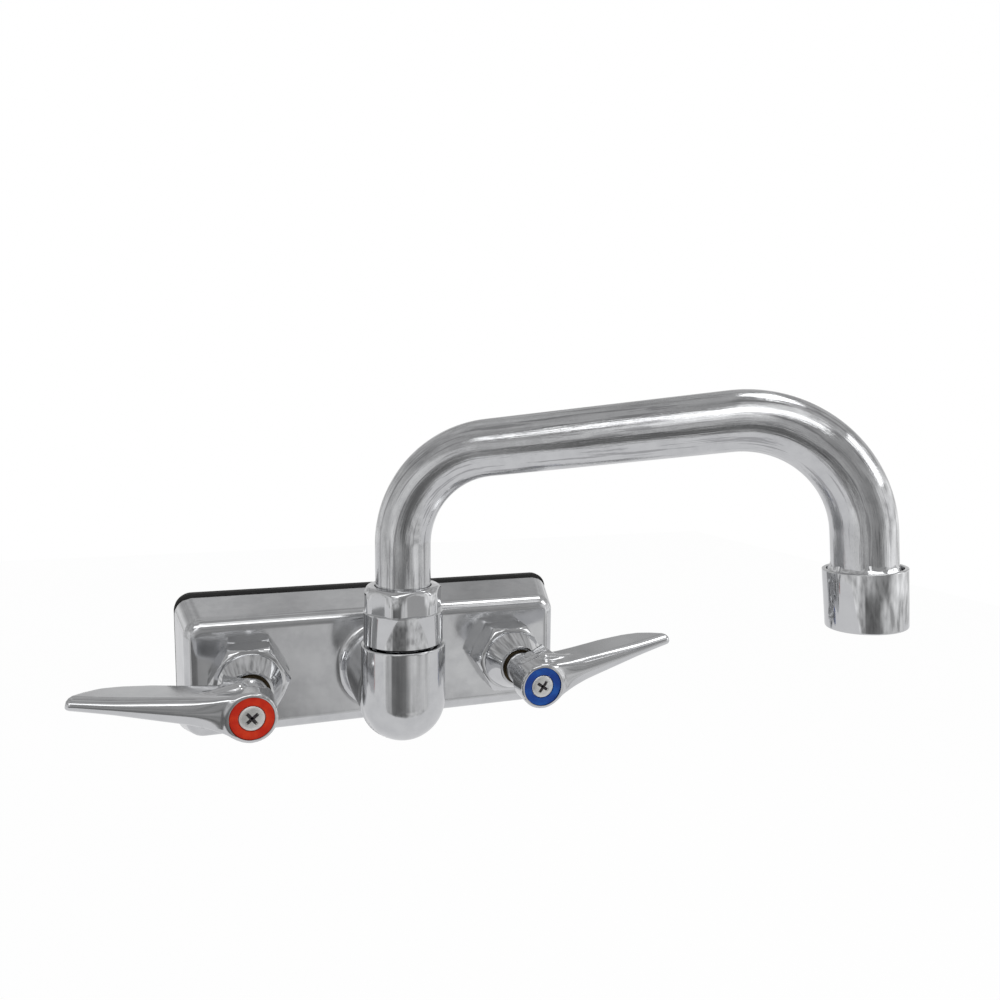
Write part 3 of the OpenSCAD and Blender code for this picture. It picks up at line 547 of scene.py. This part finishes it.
def outlet_rim():
    """The machined top of the barrel with its threaded nipple, which the spout nut covers."""
    profile = [(BARREL_R, RIM_START, 0), (BARREL_R, BARREL_TOP, 0.8), (10.6, BARREL_TOP, 0),
               (10.6, 20.8, 0), (11.6, 21.6, 0), (11.6, 29.0, 0.4), (11.2, 30.0, 0),
               (SPOUT_BORE, 30.0, 0), (SPOUT_BORE, RIM_START, 0)]
    return lathe("outlet_rim", profile, on_outlet())


def spout_line():
    """Points along the middle of the spout tube, as (across, up, heading)."""
    rise, near_r, slope, far_r, lean, drop, reach = 54.2, 34.1, 7.0, 35.5, TIP_LEAN, 20.2, 148.1
    slope_a, lean_a = math.radians(slope), math.radians(lean)
    near_turn, far_turn = math.pi / 2 - slope_a, math.pi / 2 + slope_a - lean_a
    near_x = near_r * (1 - math.cos(near_turn))
    near_z = rise + near_r * math.sin(near_turn)
    run = reach - near_x - far_r * (math.sin(slope_a) + math.cos(lean_a)) - drop * math.sin(lean_a)
    end_x, end_z = near_x + run, near_z + run * math.tan(slope_a)
    mid_x, mid_z = end_x + far_r * math.sin(slope_a), end_z - far_r * math.cos(slope_a)
    last_x, last_z = mid_x + far_r * math.cos(lean_a), mid_z + far_r * math.sin(lean_a)
    line = [(0, TUBE_FOOT + (rise - TUBE_FOOT) * k / 10, math.pi / 2) for k in range(10)]
    for k in range(41):
        turned = near_turn * k / 40
        line.append((near_r * (1 - math.cos(turned)), rise + near_r * math.sin(turned),
                     math.pi / 2 - turned))
    line += [(near_x + run * k / 24, near_z + run * math.tan(slope_a) * k / 24, slope_a)
             for k in range(1, 24)]
    for k in range(49):
        at = math.pi / 2 + slope_a - far_turn * k / 48
        line.append((mid_x + far_r * math.cos(at), mid_z + far_r * math.sin(at), at - math.pi / 2))
    line += [(last_x + drop * math.sin(lean_a) * k / 6, last_z - drop * math.cos(lean_a) * k / 6,
              lean_a - math.pi / 2) for k in range(1, 7)]
    return line


def on_spout():
    """Across is the way the spout points at rest, and up runs along the barrel."""
    return on_outlet() @ Matrix.Rotation(math.radians(SPOUT_TURN - 90), 4, "Z")


def spout_tube():
    """The bent tube with its bore; its map runs round the tube and along it."""
    sides, line = 96, spout_line()
    lengths = [0.0]
    for a, b in zip(line, line[1:]):
        lengths.append(lengths[-1] + math.hypot(b[0] - a[0], b[1] - a[1]))

    def ring(station, r):
        """Points round the tube at one place on its line."""
        x, z, heading = station
        return [(x - r * math.cos(a) * math.sin(heading), r * math.sin(a),
                 z + r * math.cos(a) * math.cos(heading))
                for a in (math.tau * k / sides for k in range(sides))]

    grid = bmesh.new()
    rings = [ring(s, TUBE_R) for s in line] + [ring(s, TUBE_R - TUBE_WALL) for s in reversed(line)]
    rows = skin_rings(grid, rings, closed=True)
    reach = lengths + lengths[::-1]
    ordinal = {v: (i, k) for i, row in enumerate(rows) for k, v in enumerate(row)}
    layer = grid.loops.layers.uv.new("wrap")
    for face in grid.faces:
        spots = [ordinal[loop.vert] for loop in face.loops]
        wraps = max(k for _, k in spots) - min(k for _, k in spots) > sides / 2
        for loop, (i, k) in zip(face.loops, spots):
            turn = k + sides if wraps and k < sides / 2 else k
            loop[layer].uv = (turn * math.tau * TUBE_R / sides * MAP_PER_MM,
                               reach[i] * MAP_PER_MM)
    return finish_mesh("spout_pipe", grid, on_spout(), 40.0)


# ---------------------------------------------------------------- handles

LEVER_LINE = [  # along the lever: half height, back depth
    (-9.0, 7.9, 66.0), (0.0, 7.7, 60.0), (4.0, 7.3, 56.0), (8.0, 6.1, 53.4), (12.7, 5.1, 53.0),
    (20.0, 4.35, 53.0), (32.0, 3.45, 53.0), (41.0, 2.75, 54.2), (47.0, 2.5, 57.0),
    (51.0, 2.35, 61.2), (53.0, 2.3, 64.2), (55.6, 2.3, 68.0)]


def along_lever(u, column):
    """Half height or back depth at a place along the lever, joined smoothly."""
    places = [row[0] for row in LEVER_LINE]
    sizes = [row[column] for row in LEVER_LINE]
    fine = np.linspace(places[0], places[-1], 257)
    rough = np.interp(fine, places, sizes)
    for _ in range(3):
        rough[3:-3] = np.convolve(rough, np.ones(7) / 7, "valid")
    return np.interp(u, fine, rough)


def handle_surface(p):
    """A cast lever: round hub, slanted root behind it and a blade with a crowned front."""
    u, v, t = p
    radial = np.hypot(u, v)
    slant = (53.6 - 0.72 * u) * 0.81 - t * 0.81
    neck = blend_cut(radial - 6.3, np.maximum(HUB_BACK - t, t - 62), 0.4)
    hub = blend_cut(radial - 8.25, np.maximum(slant, t - FACE), 0.5)
    root_half = 7.5 - 0.08 * np.maximum(u, 0)
    root = np.maximum(np.abs(v) - root_half, np.maximum(-2 - u, u - 10.4))
    root = blend_cut(root, np.maximum(slant, t - 61.5), 0.6)
    half, back = along_lever(u, 1), along_lever(u, 2)
    front = FACE - 1.8 * np.clip(np.abs(v) / half, 0, 1.2) ** 2 * np.clip(u / 12 - 0.5, 0, 1)
    edge = 1.5
    slab = np.stack([np.abs(v) - half + edge,
                     np.abs(t - (front + back) / 2) - (front - back) / 2 + edge])
    blade = np.linalg.norm(np.maximum(slab, 0), axis=0) + np.minimum(slab.max(axis=0), 0) - edge
    blade = blend_cut(blade, np.maximum(u - LEVER_L, -2 - u), 1.7)
    handle = blend_union(blend_union(hub, neck, 0.4), root, 0.4)
    handle = blend_union(handle, blade, 1.2)
    scoop = np.linalg.norm(np.stack([0.8 * (u + 0.5), v - 11.6, 0.95 * (t - 57.0)]), axis=0) - 5.6
    handle = blend_cut(handle, -scoop, 0.35)
    # The upper edge of the blade starts beside the hub as a rounded nose
    s = np.clip((u - 5.6) / 12.0, 0, 1)
    nose = np.linalg.norm(np.stack([u - 5.6 - 12.0 * s, v - 6.2 + 4.0 * s, t - 61.4]), axis=0)
    return blend_union(handle, nose - 2.8 + 1.0 * s, 0.5)


def lever_handle(side):
    """The cast lever with its ring seat, screw hole and stem socket."""
    grid = cast_grid(handle_surface, (-9.5, -9.5, 45.5), (55.5, 9.5, 70.5), 0.5)
    mesh = finish_mesh(f"lever_{SIDE_NAME[side]}", grid, Matrix.Identity(4), 50.0)
    drill(mesh, [(7.2, FACE - 1.3, FACE + 2), (2.1, HUB_BACK - 1, FACE),
                 (4.55, HUB_BACK - 1, 60.0)])
    mesh.transform(on_handle(side))
    if side == HOT:
        mesh.flip_normals()
    return mesh


# ---------------------------------------------------------------- finishes

def new_group(name, inputs, outputs):
    """An empty shader group with named sockets; each input is (name, kind, value)."""
    tree = bpy.data.node_groups.new(name, "ShaderNodeTree")
    for label, kind, value in inputs:
        socket = tree.interface.new_socket(label, in_out="INPUT", socket_type="NodeSocket" + kind)
        if value is not None:
            socket.default_value = value
    for label, kind in outputs:
        tree.interface.new_socket(label, in_out="OUTPUT", socket_type="NodeSocket" + kind)
    w = Wiring(tree)
    given = tree.nodes.new("NodeGroupInput")
    result = tree.nodes.new("NodeGroupOutput")
    return w, given.outputs, result.inputs


def ripple_group():
    """Slow waves and fine grain, as left by hand polishing under the plating."""
    w, given, result = new_group("polished_ripple", [
        ("Place", "Vector", None), ("Wave Scale", "Float", 90.0), ("Wave Depth", "Float", 0.00002),
        ("Grain Scale", "Float", 1600.0), ("Grain Depth", "Float", 0.0000006),
        ("Gloss", "Float", 0.06), ("Haze", "Float", 0.05)],
        [("Normal", "Vector"), ("Roughness", "Float")])
    wave = w.add("TexNoise", inputs={"Vector": given["Place"], "Scale": given["Wave Scale"],
                                     "Detail": 2.0, "Roughness": 0.4}).outputs["Fac"]
    grain = w.add("TexNoise", inputs={"Vector": given["Place"], "Scale": given["Grain Scale"],
                                      "Detail": 3.0}).outputs["Fac"]
    slow = w.add("Bump", inputs={"Height": wave, "Distance": given["Wave Depth"], "Strength": 1.0})
    fine = w.add("Bump", inputs={"Height": grain, "Distance": given["Grain Depth"],
                                 "Strength": 1.0, "Normal": slow.outputs["Normal"]})
    w.tree.links.new(fine.outputs["Normal"], result["Normal"])
    cloud = w.add("TexNoise", inputs={"Vector": given["Place"], "Scale": 240.0,
                                      "Detail": 4.0}).outputs["Fac"]
    spread = w.math("MULTIPLY", cloud, given["Haze"])
    w.tree.links.new(w.math("ADD", spread, given["Gloss"]), result["Roughness"])
    return w.tree


def streak_group():
    """Long polishing lines that follow a piece's own map."""
    w, given, result = new_group("polishing_lines", [
        ("Map", "Vector", None), ("Lines", "Float", 1.0), ("Depth", "Float", 0.00001),
        ("Normal In", "Vector", None)], [("Normal", "Vector"), ("Mask", "Float")])
    stretch = w.add("VectorMath", operation="MULTIPLY",
                    inputs={0: given["Map"], 1: (80.0, 3.0, 1.0)}).outputs[0]
    lines = w.add("TexNoise", inputs={"Vector": stretch, "Scale": given["Lines"],
                                      "Detail": 5.0, "Roughness": 0.65}).outputs["Fac"]
    bump = w.add("Bump", inputs={"Height": lines, "Distance": given["Depth"], "Strength": 1.0,
                                 "Normal": given["Normal In"]})
    w.tree.links.new(bump.outputs["Normal"], result["Normal"])
    w.tree.links.new(lines, result["Mask"])
    return w.tree


def tone_group():
    """Uneven tone: a colour that drifts towards a second one in soft patches and specks."""
    w, given, result = new_group("uneven_tone", [
        ("Place", "Vector", None), ("Colour", "Color", (0.8, 0.8, 0.8, 1)),
        ("Drift", "Color", (0.5, 0.5, 0.5, 1)), ("Patch Scale", "Float", 120.0),
        ("Amount", "Float", 0.4)], [("Colour", "Color"), ("Mask", "Float")])
    patch = w.add("TexNoise", inputs={"Vector": given["Place"], "Scale": given["Patch Scale"],
                                      "Detail": 5.0, "Roughness": 0.6}).outputs["Fac"]
    patch = w.ramp(patch, [(0.35, 0.0), (0.75, 1.0)])
    share = w.math("MULTIPLY", patch, given["Amount"])
    w.tree.links.new(w.mix(share, given["Colour"], given["Drift"]), result["Colour"])
    w.tree.links.new(share, result["Mask"])
    return w.tree


def finish(name, plain, drift, metallic=0.0, gloss=0.1, haze=0.05, wave=(90.0, 0.00002),
           grain=(1600.0, 0.0000006), patch=(120.0, 0.3), lines=None, sheen=0.5):
    """A finish made of the shared groups, with this piece's own values."""
    made = bpy.data.materials.new(name)
    made.use_nodes = True
    w = Wiring(made.node_tree)
    shader = made.node_tree.nodes["Principled BSDF"]
    shader.inputs["Metallic"].default_value = metallic
    shader.inputs["Specular IOR Level"].default_value = sheen
    place = w.add("TexCoord").outputs["Object"]
    tone = w.add("Group", node_tree=GROUPS["tone"], inputs={
        "Place": place, "Colour": (*plain, 1), "Drift": (*drift, 1),
        "Patch Scale": patch[0], "Amount": patch[1]})
    ripple = w.add("Group", node_tree=GROUPS["ripple"], inputs={
        "Place": place, "Wave Scale": wave[0], "Wave Depth": wave[1],
        "Grain Scale": grain[0], "Grain Depth": grain[1], "Gloss": gloss, "Haze": haze})
    normal, colour = ripple.outputs["Normal"], tone.outputs["Colour"]
    if lines:
        map_place = w.add("UVMap", uv_map="wrap").outputs["UV"]
        streaks = w.add("Group", node_tree=GROUPS["streak"], inputs={
            "Map": map_place, "Lines": lines[0], "Depth": lines[1], "Normal In": normal})
        normal = streaks.outputs["Normal"]
        # The bump gives the polishing lines; the dark streaks along them in the colour are painted
        # reflection.
        painted_streak_share = w.math("MULTIPLY", w.ramp(streaks.outputs["Mask"], [(0.53, 0.0), (0.60, 1.0)]), 0.65)
        colour = w.mix(painted_streak_share, colour, (0.30, 0.30, 0.31, 1))
    made.node_tree.links.new(colour, shader.inputs["Base Color"])
    made.node_tree.links.new(ripple.outputs["Roughness"], shader.inputs["Roughness"])
    made.node_tree.links.new(normal, shader.inputs["Normal"])
    return made


def make_finishes():
    """Every finish by name: main colour, drift, metallic, gloss and haze come first."""
    chrome, grey = (0.64, 0.645, 0.655), (0.49, 0.495, 0.51)
    return {
        "cast_chrome": finish("chrome_casting", chrome, grey, 1.0, 0.07, 0.10,
                              wave=(75.0, 0.00008), grain=(900.0, 0.0000018), patch=(130.0, 0.5)),
        "tube_chrome": finish("chrome_tube", chrome, grey, 1.0, 0.03, 0.05,
                              wave=(45.0, 0.00005), patch=(160.0, 0.5), lines=(1.0, 0.00009)),
        "lever_chrome": finish("chrome_levers", chrome, grey, 1.0, 0.08, 0.06,
                               wave=(110.0, 0.00003)),
        "turned_chrome": finish("chrome_turned", chrome, grey, 1.0, 0.05, 0.05,
                                wave=(120.0, 0.000012)),
        "brass": finish("bare_brass", (0.76, 0.61, 0.33), (0.52, 0.38, 0.18), 1.0, 0.22, 0.15,
                        patch=(90.0, 0.55), grain=(2600.0, 0.000002)),
        "inner_brass": finish("tarnished_brass", (0.30, 0.22, 0.12), (0.16, 0.11, 0.06), 1.0,
                              0.30, 0.15, patch=(150.0, 0.6), grain=(2600.0, 0.000002)),
        # Near-black brass for the stems and cartridges: painted shade of the gap behind the handle
        # hubs.
        "shaded_brass": finish("painted_shade_brass", (0.11, 0.085, 0.05), (0.06, 0.045, 0.03), 1.0,
                               0.35, 0.15, patch=(150.0, 0.6)),
        # Near-black finish for the filler in the screw recesses: painted shade of the recess.
        "slot_shade": finish("slot_shade", (0.035, 0.03, 0.035), (0.07, 0.065, 0.06), 0.0, 0.6, 0.2,
                            patch=(900.0, 0.7), grain=(4000.0, 0.00001), sheen=0.2),
        "rubber": finish("gasket_rubber", (0.013, 0.013, 0.013), (0.03, 0.03, 0.03), 0.0, 0.6, 0.2,
                         wave=(300.0, 0.00003), grain=(3000.0, 0.00001)),
        "nitrile": finish("seal_rubber", (0.06, 0.06, 0.06), (0.10, 0.10, 0.10), 0.0, 0.4, 0.15,
                          grain=(3500.0, 0.000004)),
        "ceramic": finish("lapped_ceramic", (0.93, 0.92, 0.88), (0.86, 0.85, 0.80), 0.0, 0.12,
                          0.05, patch=(400.0, 0.4)),
        "hot": finish("hot_ring", (0.44, 0.016, 0.006), (0.62, 0.05, 0.012), 0.0, 0.25, 0.1,
                      patch=(200.0, 0.8), sheen=0.15),
        "cold": finish("cold_ring", (0.010, 0.045, 0.24), (0.016, 0.10, 0.38), 0.0, 0.25, 0.1,
                       patch=(200.0, 0.8), sheen=0.15),
        "plastic": finish("pale_plastic", (0.86, 0.86, 0.84), (0.78, 0.78, 0.75), 0.0, 0.35,
                          0.15, patch=(300.0, 0.4)),
        "zinc": finish("zinc_plate", (0.62, 0.63, 0.65), (0.50, 0.51, 0.54), 1.0, 0.28, 0.15,
                       patch=(200.0, 0.6)),
        "screw": finish("stainless_screw", (0.74, 0.74, 0.72), (0.58, 0.58, 0.58), 1.0, 0.36,
                        0.12, patch=(700.0, 0.6), grain=(5000.0, 0.000004)),
    }


# ---------------------------------------------------------------- small pieces

def spout_nut():
    """The nut on the barrel: round below and hexagonal above."""
    levels = [(20.4, None, 13.3), (20.7, None, 13.7), (30.9, None, 13.7), (31.1, None, 13.78),
              (31.4, None, 13.78), (31.6, None, 13.6), (31.62, 12.6, 13.45), (34.0, 12.6, 13.5),
              (38.3, 12.6, 13.5), (38.7, 12.6, 13.4), (39.2, 12.6, 13.12), (39.6, 12.6, 12.8),
              (39.9, 12.6, 12.5), (40.1, 12.6, 12.2), (40.2, None, 11.8)]
    bore = [(9.9, 40.2), (9.81, 40.0), (9.81, 33.1), (11.63, 33.1), (11.63, 20.9), (12.0, 20.4)]
    return wrench_nut("spout_nut_chrome", levels, bore, on_outlet(),
                      turn_by=math.radians(30.0 + NUT_TURN), edge=0.3)


def bonnet_nut(side):
    """The valve's nut: a hexagon with a tapered collar."""
    levels = [(20.2, None, 10.4), (24.0, None, 10.45), (24.01, 12.85, 13.9), (24.5, 12.85, 14.4),
              (25.2, 12.85, 14.9), (33.4, 12.85, 14.9), (34.2, 12.85, 14.4), (34.9, 12.85, 13.8),
              (35.4, 12.85, 13.1), (35.6, None, 12.5), (35.62, None, 11.1), (36.0, None, 11.0),
              (36.15, None, 11.3), (36.6, None, 11.45), (44.4, None, 8.3), (44.9, None, 8.0),
              (45.0, None, 7.7)]
    bore = [(7.0, 45.0), (6.9, 44.8), (6.9, 20.2)]
    return wrench_nut(f"bonnet_nut_{SIDE_NAME[side]}", levels, bore,
                      out_of_wall(side * VALVE_X), turn_by=math.pi / 6, edge=0.35)


def lock_nut(side):
    """The hexagon nut behind the panel."""
    levels = [(-13.6, None, 12.6), (-13.6, 14.3, 14.9), (-13.0, 14.3, 15.6), (-12.2, 14.3, 16.4),
              (-9.0, 14.3, 16.4), (-8.2, 14.3, 15.6), (-7.6, 14.3, 14.9), (-7.6, None, 12.6)]
    bore = [(10.9, -7.6), (10.5, -8.1), (10.5, -13.1), (10.9, -13.6)]
    return wrench_nut(f"lock_nut_{SIDE_NAME[side]}", levels, bore,
                      out_of_wall(side * VALVE_X), turn_by=math.pi / 6, edge=0.35)


def inlet_shank(side):
    """A brass shank with its pipe thread cut as a true helix."""
    steps, pitch, depth = 72, 1.814, 0.95
    heights = [-38.0 + 0.2 * k for k in range(236)]
    rings = []
    for z in heights:
        ring = []
        plain = min((z + 38.0) / 1.0, 1.0)
        groove = 1.0 if -16.3 <= z <= -15.1 else 0.0
        for a in (math.tau * k / steps for k in range(steps)):
            turns = (z / pitch - a / math.tau) % 1.0
            tooth = abs(turns - 0.5) * 2
            cut = depth * min(max(tooth * 1.25 - 0.12, 0), 1)
            r = 10.4775 - max(cut, (1 - plain) * 1.0, groove * 0.6)
            ring.append((r * math.cos(a), r * math.sin(a), z))
        rings.append(ring)
    rings += [circle(r, z, steps) for r, z in ((6.9, 9.0), (6.5, 8.6), (6.5, -37.6), (6.9, -38.0))]
    grid = bmesh.new()
    skin_rings(grid, rings, closed=True)
    return finish_mesh(f"inlet_shank_{SIDE_NAME[side]}", grid, out_of_wall(side * VALVE_X), 50.0)


def mount_washer(side):
    """The flat washer under the lock nut."""
    profile = [(10.6, -7.6, 0), (17.0, -7.6, 0.3), (17.0, -6.0, 0.3), (10.6, -6.0, 0)]
    return lathe(f"mount_washer_{SIDE_NAME[side]}", profile, out_of_wall(side * VALVE_X))


def index_ring(side):
    """The coloured ring round the handle screw."""
    profile = [(4.3, 68.0, 0), (7.13, 68.0, 0), (7.13, 69.22, 0.25), (4.3, 69.22, 0.25)]
    return lathe(f"index_ring_{SIDE_NAME[side]}", profile, on_handle(side))


def handle_screw(side):
    """A domed screw head with a cross recess that narrows as it goes in."""
    profile = [(0.0, 54.0, 0), (1.7, 54.2, 0), (1.95, 55.0, 0), (1.95, 68.0, 0), (4.18, 68.0, 0),
               (4.18, 69.1, 0.35), (3.2, 69.45, 0.3), (1.6, 69.62, 0), (0.0, 69.66, 0)]
    grid = bmesh.new()
    points = [p for p in eased(profile) if p.x > 1e-6]
    skin_rings(grid, [circle(p.x, p.y, 96) for p in points])
    for ring_start in (0, len(points) - 1):
        grid.verts.ensure_lookup_table()
        loop = [grid.verts[ring_start * 96 + k] for k in range(96)]
        grid.faces.new(loop)
    mesh = finish_mesh(f"handle_screw_{SIDE_NAME[side]}", grid, Matrix.Identity(4), 40.0)
    for turn in SLOT_TURNS:
        spin = Matrix.Rotation(math.radians(turn), 4, "Z")
        bar = bmesh.new()
        corners = [bar.verts.new(spin @ Vector((sx * long, sy * wide, z)))
                   for long, wide, z in ((2.9, 0.62, 70.0), (1.3, 0.32, 67.9))
                   for sx, sy in BOX_CORNERS]
        for face in ((0, 1, 2, 3), (7, 6, 5, 4), (0, 4, 5, 1), (1, 5, 6, 2), (2, 6, 7, 3),
                     (3, 7, 4, 0)):
            bar.faces.new([corners[k] for k in face])
        bmesh.ops.recalc_face_normals(bar, faces=bar.faces)
        cut_with(mesh, bar)
    mesh.transform(on_handle(side))
    if side == HOT:
        mesh.flip_normals()
    return mesh


def slot_shade(side):
    """A dark filler in the bottom of the screw's cross recess: painted shade where the recess lies
    in shadow.
    """
    grid = bmesh.new()
    for turn in SLOT_TURNS:
        spin = Matrix.Rotation(math.radians(turn), 4, "Z")
        rows = []
        for long, wide, z in ((1.4, 0.34, 67.95), (2.1, 0.46, 69.0), (1.9, 0.38, 69.08)):
            ring = []
            for sx, sy in BOX_CORNERS:
                ring += [(sx * long, sy * wide), (sx * long * 0.5, sy * wide * 1.02)]
            ring.sort(key=lambda p: math.atan2(p[1], p[0]))
            rows.append([spin @ Vector((a, b, z)) for a, b in ring])
        built = skin_rings(grid, rows)
        grid.faces.new(built[0])
        grid.faces.new(built[-1])
    return finish_mesh(f"slot_shade_{SIDE_NAME[side]}", grid, on_handle(side))


def wall_gasket():
    """The rubber sheet behind the body, with soft edges and its two shank holes."""
    half_w, half_h, r = BODY_W / 2, BODY_H / 2, BODY_CORNER
    outline = []
    for cx, cz, start in ((1, 1, 0), (-1, 1, 90), (-1, -1, 180), (1, -1, 270)):
        for k in range(13):
            a = math.radians(start + 90 * k / 12)
            outline.append((cx * (half_w - r), cz * (half_h - r), math.cos(a), math.sin(a)))
    rings = []
    for t, inset in ((0.02, 0.3), (0.3, 0.0), (2.7, 0.0), (2.98, 0.3)):
        rings.append([(x + (r - inset) * c, z + (r - inset) * s + GASKET_LIFT, t)
                      for x, z, c, s in outline])
    grid = bmesh.new()
    rows = skin_rings(grid, rings)
    grid.faces.new(rows[0])
    grid.faces.new(rows[-1])
    mesh = finish_mesh("gasket_sheet", grid, Matrix.Identity(4), 50.0)
    holes = bmesh.new()
    for side in (HOT, COLD):
        bmesh.ops.create_cone(holes, cap_ends=True, segments=96, radius1=11.08, radius2=11.08,
                              depth=8.0, matrix=Matrix.Translation((side * VALVE_X, 0, 1.5)))
    cut_with(mesh, holes)
    mesh.transform(out_of_wall())
    return mesh


def on_tip():
    """Along the way the water leaves, from the end of the tube."""
    across, up, _ = spout_line()[-1]
    return (on_spout() @ Matrix.Translation((across, 0, up))
            @ Matrix.Rotation(math.radians(180 - TIP_LEAN), 4, "Y"))


def tip_collar():
    """The brazed collar on the tube's end: it fills the aerator's mouth and stands up unevenly."""
    profile = [(9.53, -6.9), (10.75, -6.9), (10.7, -7.7), (10.45, -8.2), (10.15, -8.6),
               (9.9, -9.1), (9.7, -9.7), (9.53, -10.3)]
    rings = []
    for r, z in profile:
        ring = []
        for a in (math.tau * k / 128 for k in range(128)):
            lump = (0.5 * math.sin(3 * a + 0.8) + 0.35 * math.sin(7 * a)
                    + 0.25 * math.sin(13 * a + 2))
            rise = lump * min(max(-6.9 - z, 0.0) / 1.5, 1.0)
            ring.append((r * math.cos(a), r * math.sin(a), z - rise))
        rings.append(ring)
    grid = bmesh.new()
    skin_rings(grid, rings, closed=True)
    return finish_mesh("tip_collar", grid, on_tip(), 50.0)


def aerator_housing():
    """The aerator's shell, open at both ends."""
    profile = [(10.85, -9.0, 0.2), (12.05, -9.0, 0.35), (11.7, 8.9, 0.5), (9.25, 8.9, 0.3),
               (9.25, 7.4, 0.2), (10.83, 7.4, 0)]
    return lathe("aerator_shell", profile, on_tip())


# ---------------------------------------------------------------- the faucet

photo_camera()
studio_world()
floor_and_lamps()
GROUPS = {"ripple": ripple_group(), "streak": streak_group(), "tone": tone_group()}
FINISH = make_finishes()

keep_piece("cast_body", cast_body(), FINISH["cast_chrome"], "faucet_body", "body_casting")
keep_piece("outlet_rim", outlet_rim(), FINISH["turned_chrome"], "faucet_body", None)
keep_piece("gasket_sheet", wall_gasket(), FINISH["rubber"], "faucet_body", "wall_gasket")
keep_piece("spout_nut_chrome", spout_nut(), FINISH["turned_chrome"], "faucet_body", "spout_nut")
keep_piece("spout_pipe", spout_tube(), FINISH["tube_chrome"], "spout", "spout_tube")
keep_piece("aerator_shell", aerator_housing(), FINISH["turned_chrome"], "spout",
           "aerator_housing")
keep_piece("tip_collar", tip_collar(), FINISH["turned_chrome"], "spout", None)
for side in (HOT, COLD):
    which = SIDE_NAME[side]
    handle = which + "_handle"
    keep_piece(f"bonnet_{which}", bonnet_nut(side), FINISH["turned_chrome"], "faucet_body",
               f"bonnet_nut_{which}")
    keep_piece(f"locking_nut_{which}", lock_nut(side), FINISH["brass"], "faucet_body",
               f"lock_nut_{which}")
    keep_piece(f"threaded_shank_{which}", inlet_shank(side), FINISH["brass"], "faucet_body",
               f"inlet_shank_{which}")
    keep_piece(f"flat_washer_{which}", mount_washer(side), FINISH["zinc"], "faucet_body",
               f"mount_washer_{which}")
    keep_piece(f"lever_{which}", lever_handle(side), FINISH["lever_chrome"], handle,
               f"lever_handle_{which}")
    keep_piece(f"colour_ring_{which}", index_ring(side), FINISH[which], handle,
               f"index_ring_{which}")
    keep_piece(f"cross_screw_{which}", handle_screw(side), FINISH["screw"], handle,
               f"handle_screw_{which}")
    # The dark filler in each screw recess is painted shade.
    keep_piece(f"slot_shade_{which}", slot_shade(side), FINISH["slot_shade"], handle, None)

INNER = {"bare_brass": "inner_brass", "seal_rubber": "nitrile", "ceramic": "ceramic",
         "pale_plastic": "plastic", "zinc_steel": "zinc", "screw_steel": "screw",
         "chrome": "turned_chrome", "gasket_rubber": "rubber", "hot_red": "hot",
         "cold_blue": "cold"}
for part in frame["record"]["subparts"]:
    node = frame["nodes"][part["node"]]
    node.data.materials.clear()
    # Stems and cartridges take the near-black brass: painted shade where they show in the gaps
    # behind the hubs.
    in_valve = part["node"].startswith(("stem_hot", "stem_cold", "cartridge_hot", "cartridge_cold"))
    coat = "shaded_brass" if in_valve else INNER[part["material_slot"]]
    node.data.materials.append(FINISH[coat])
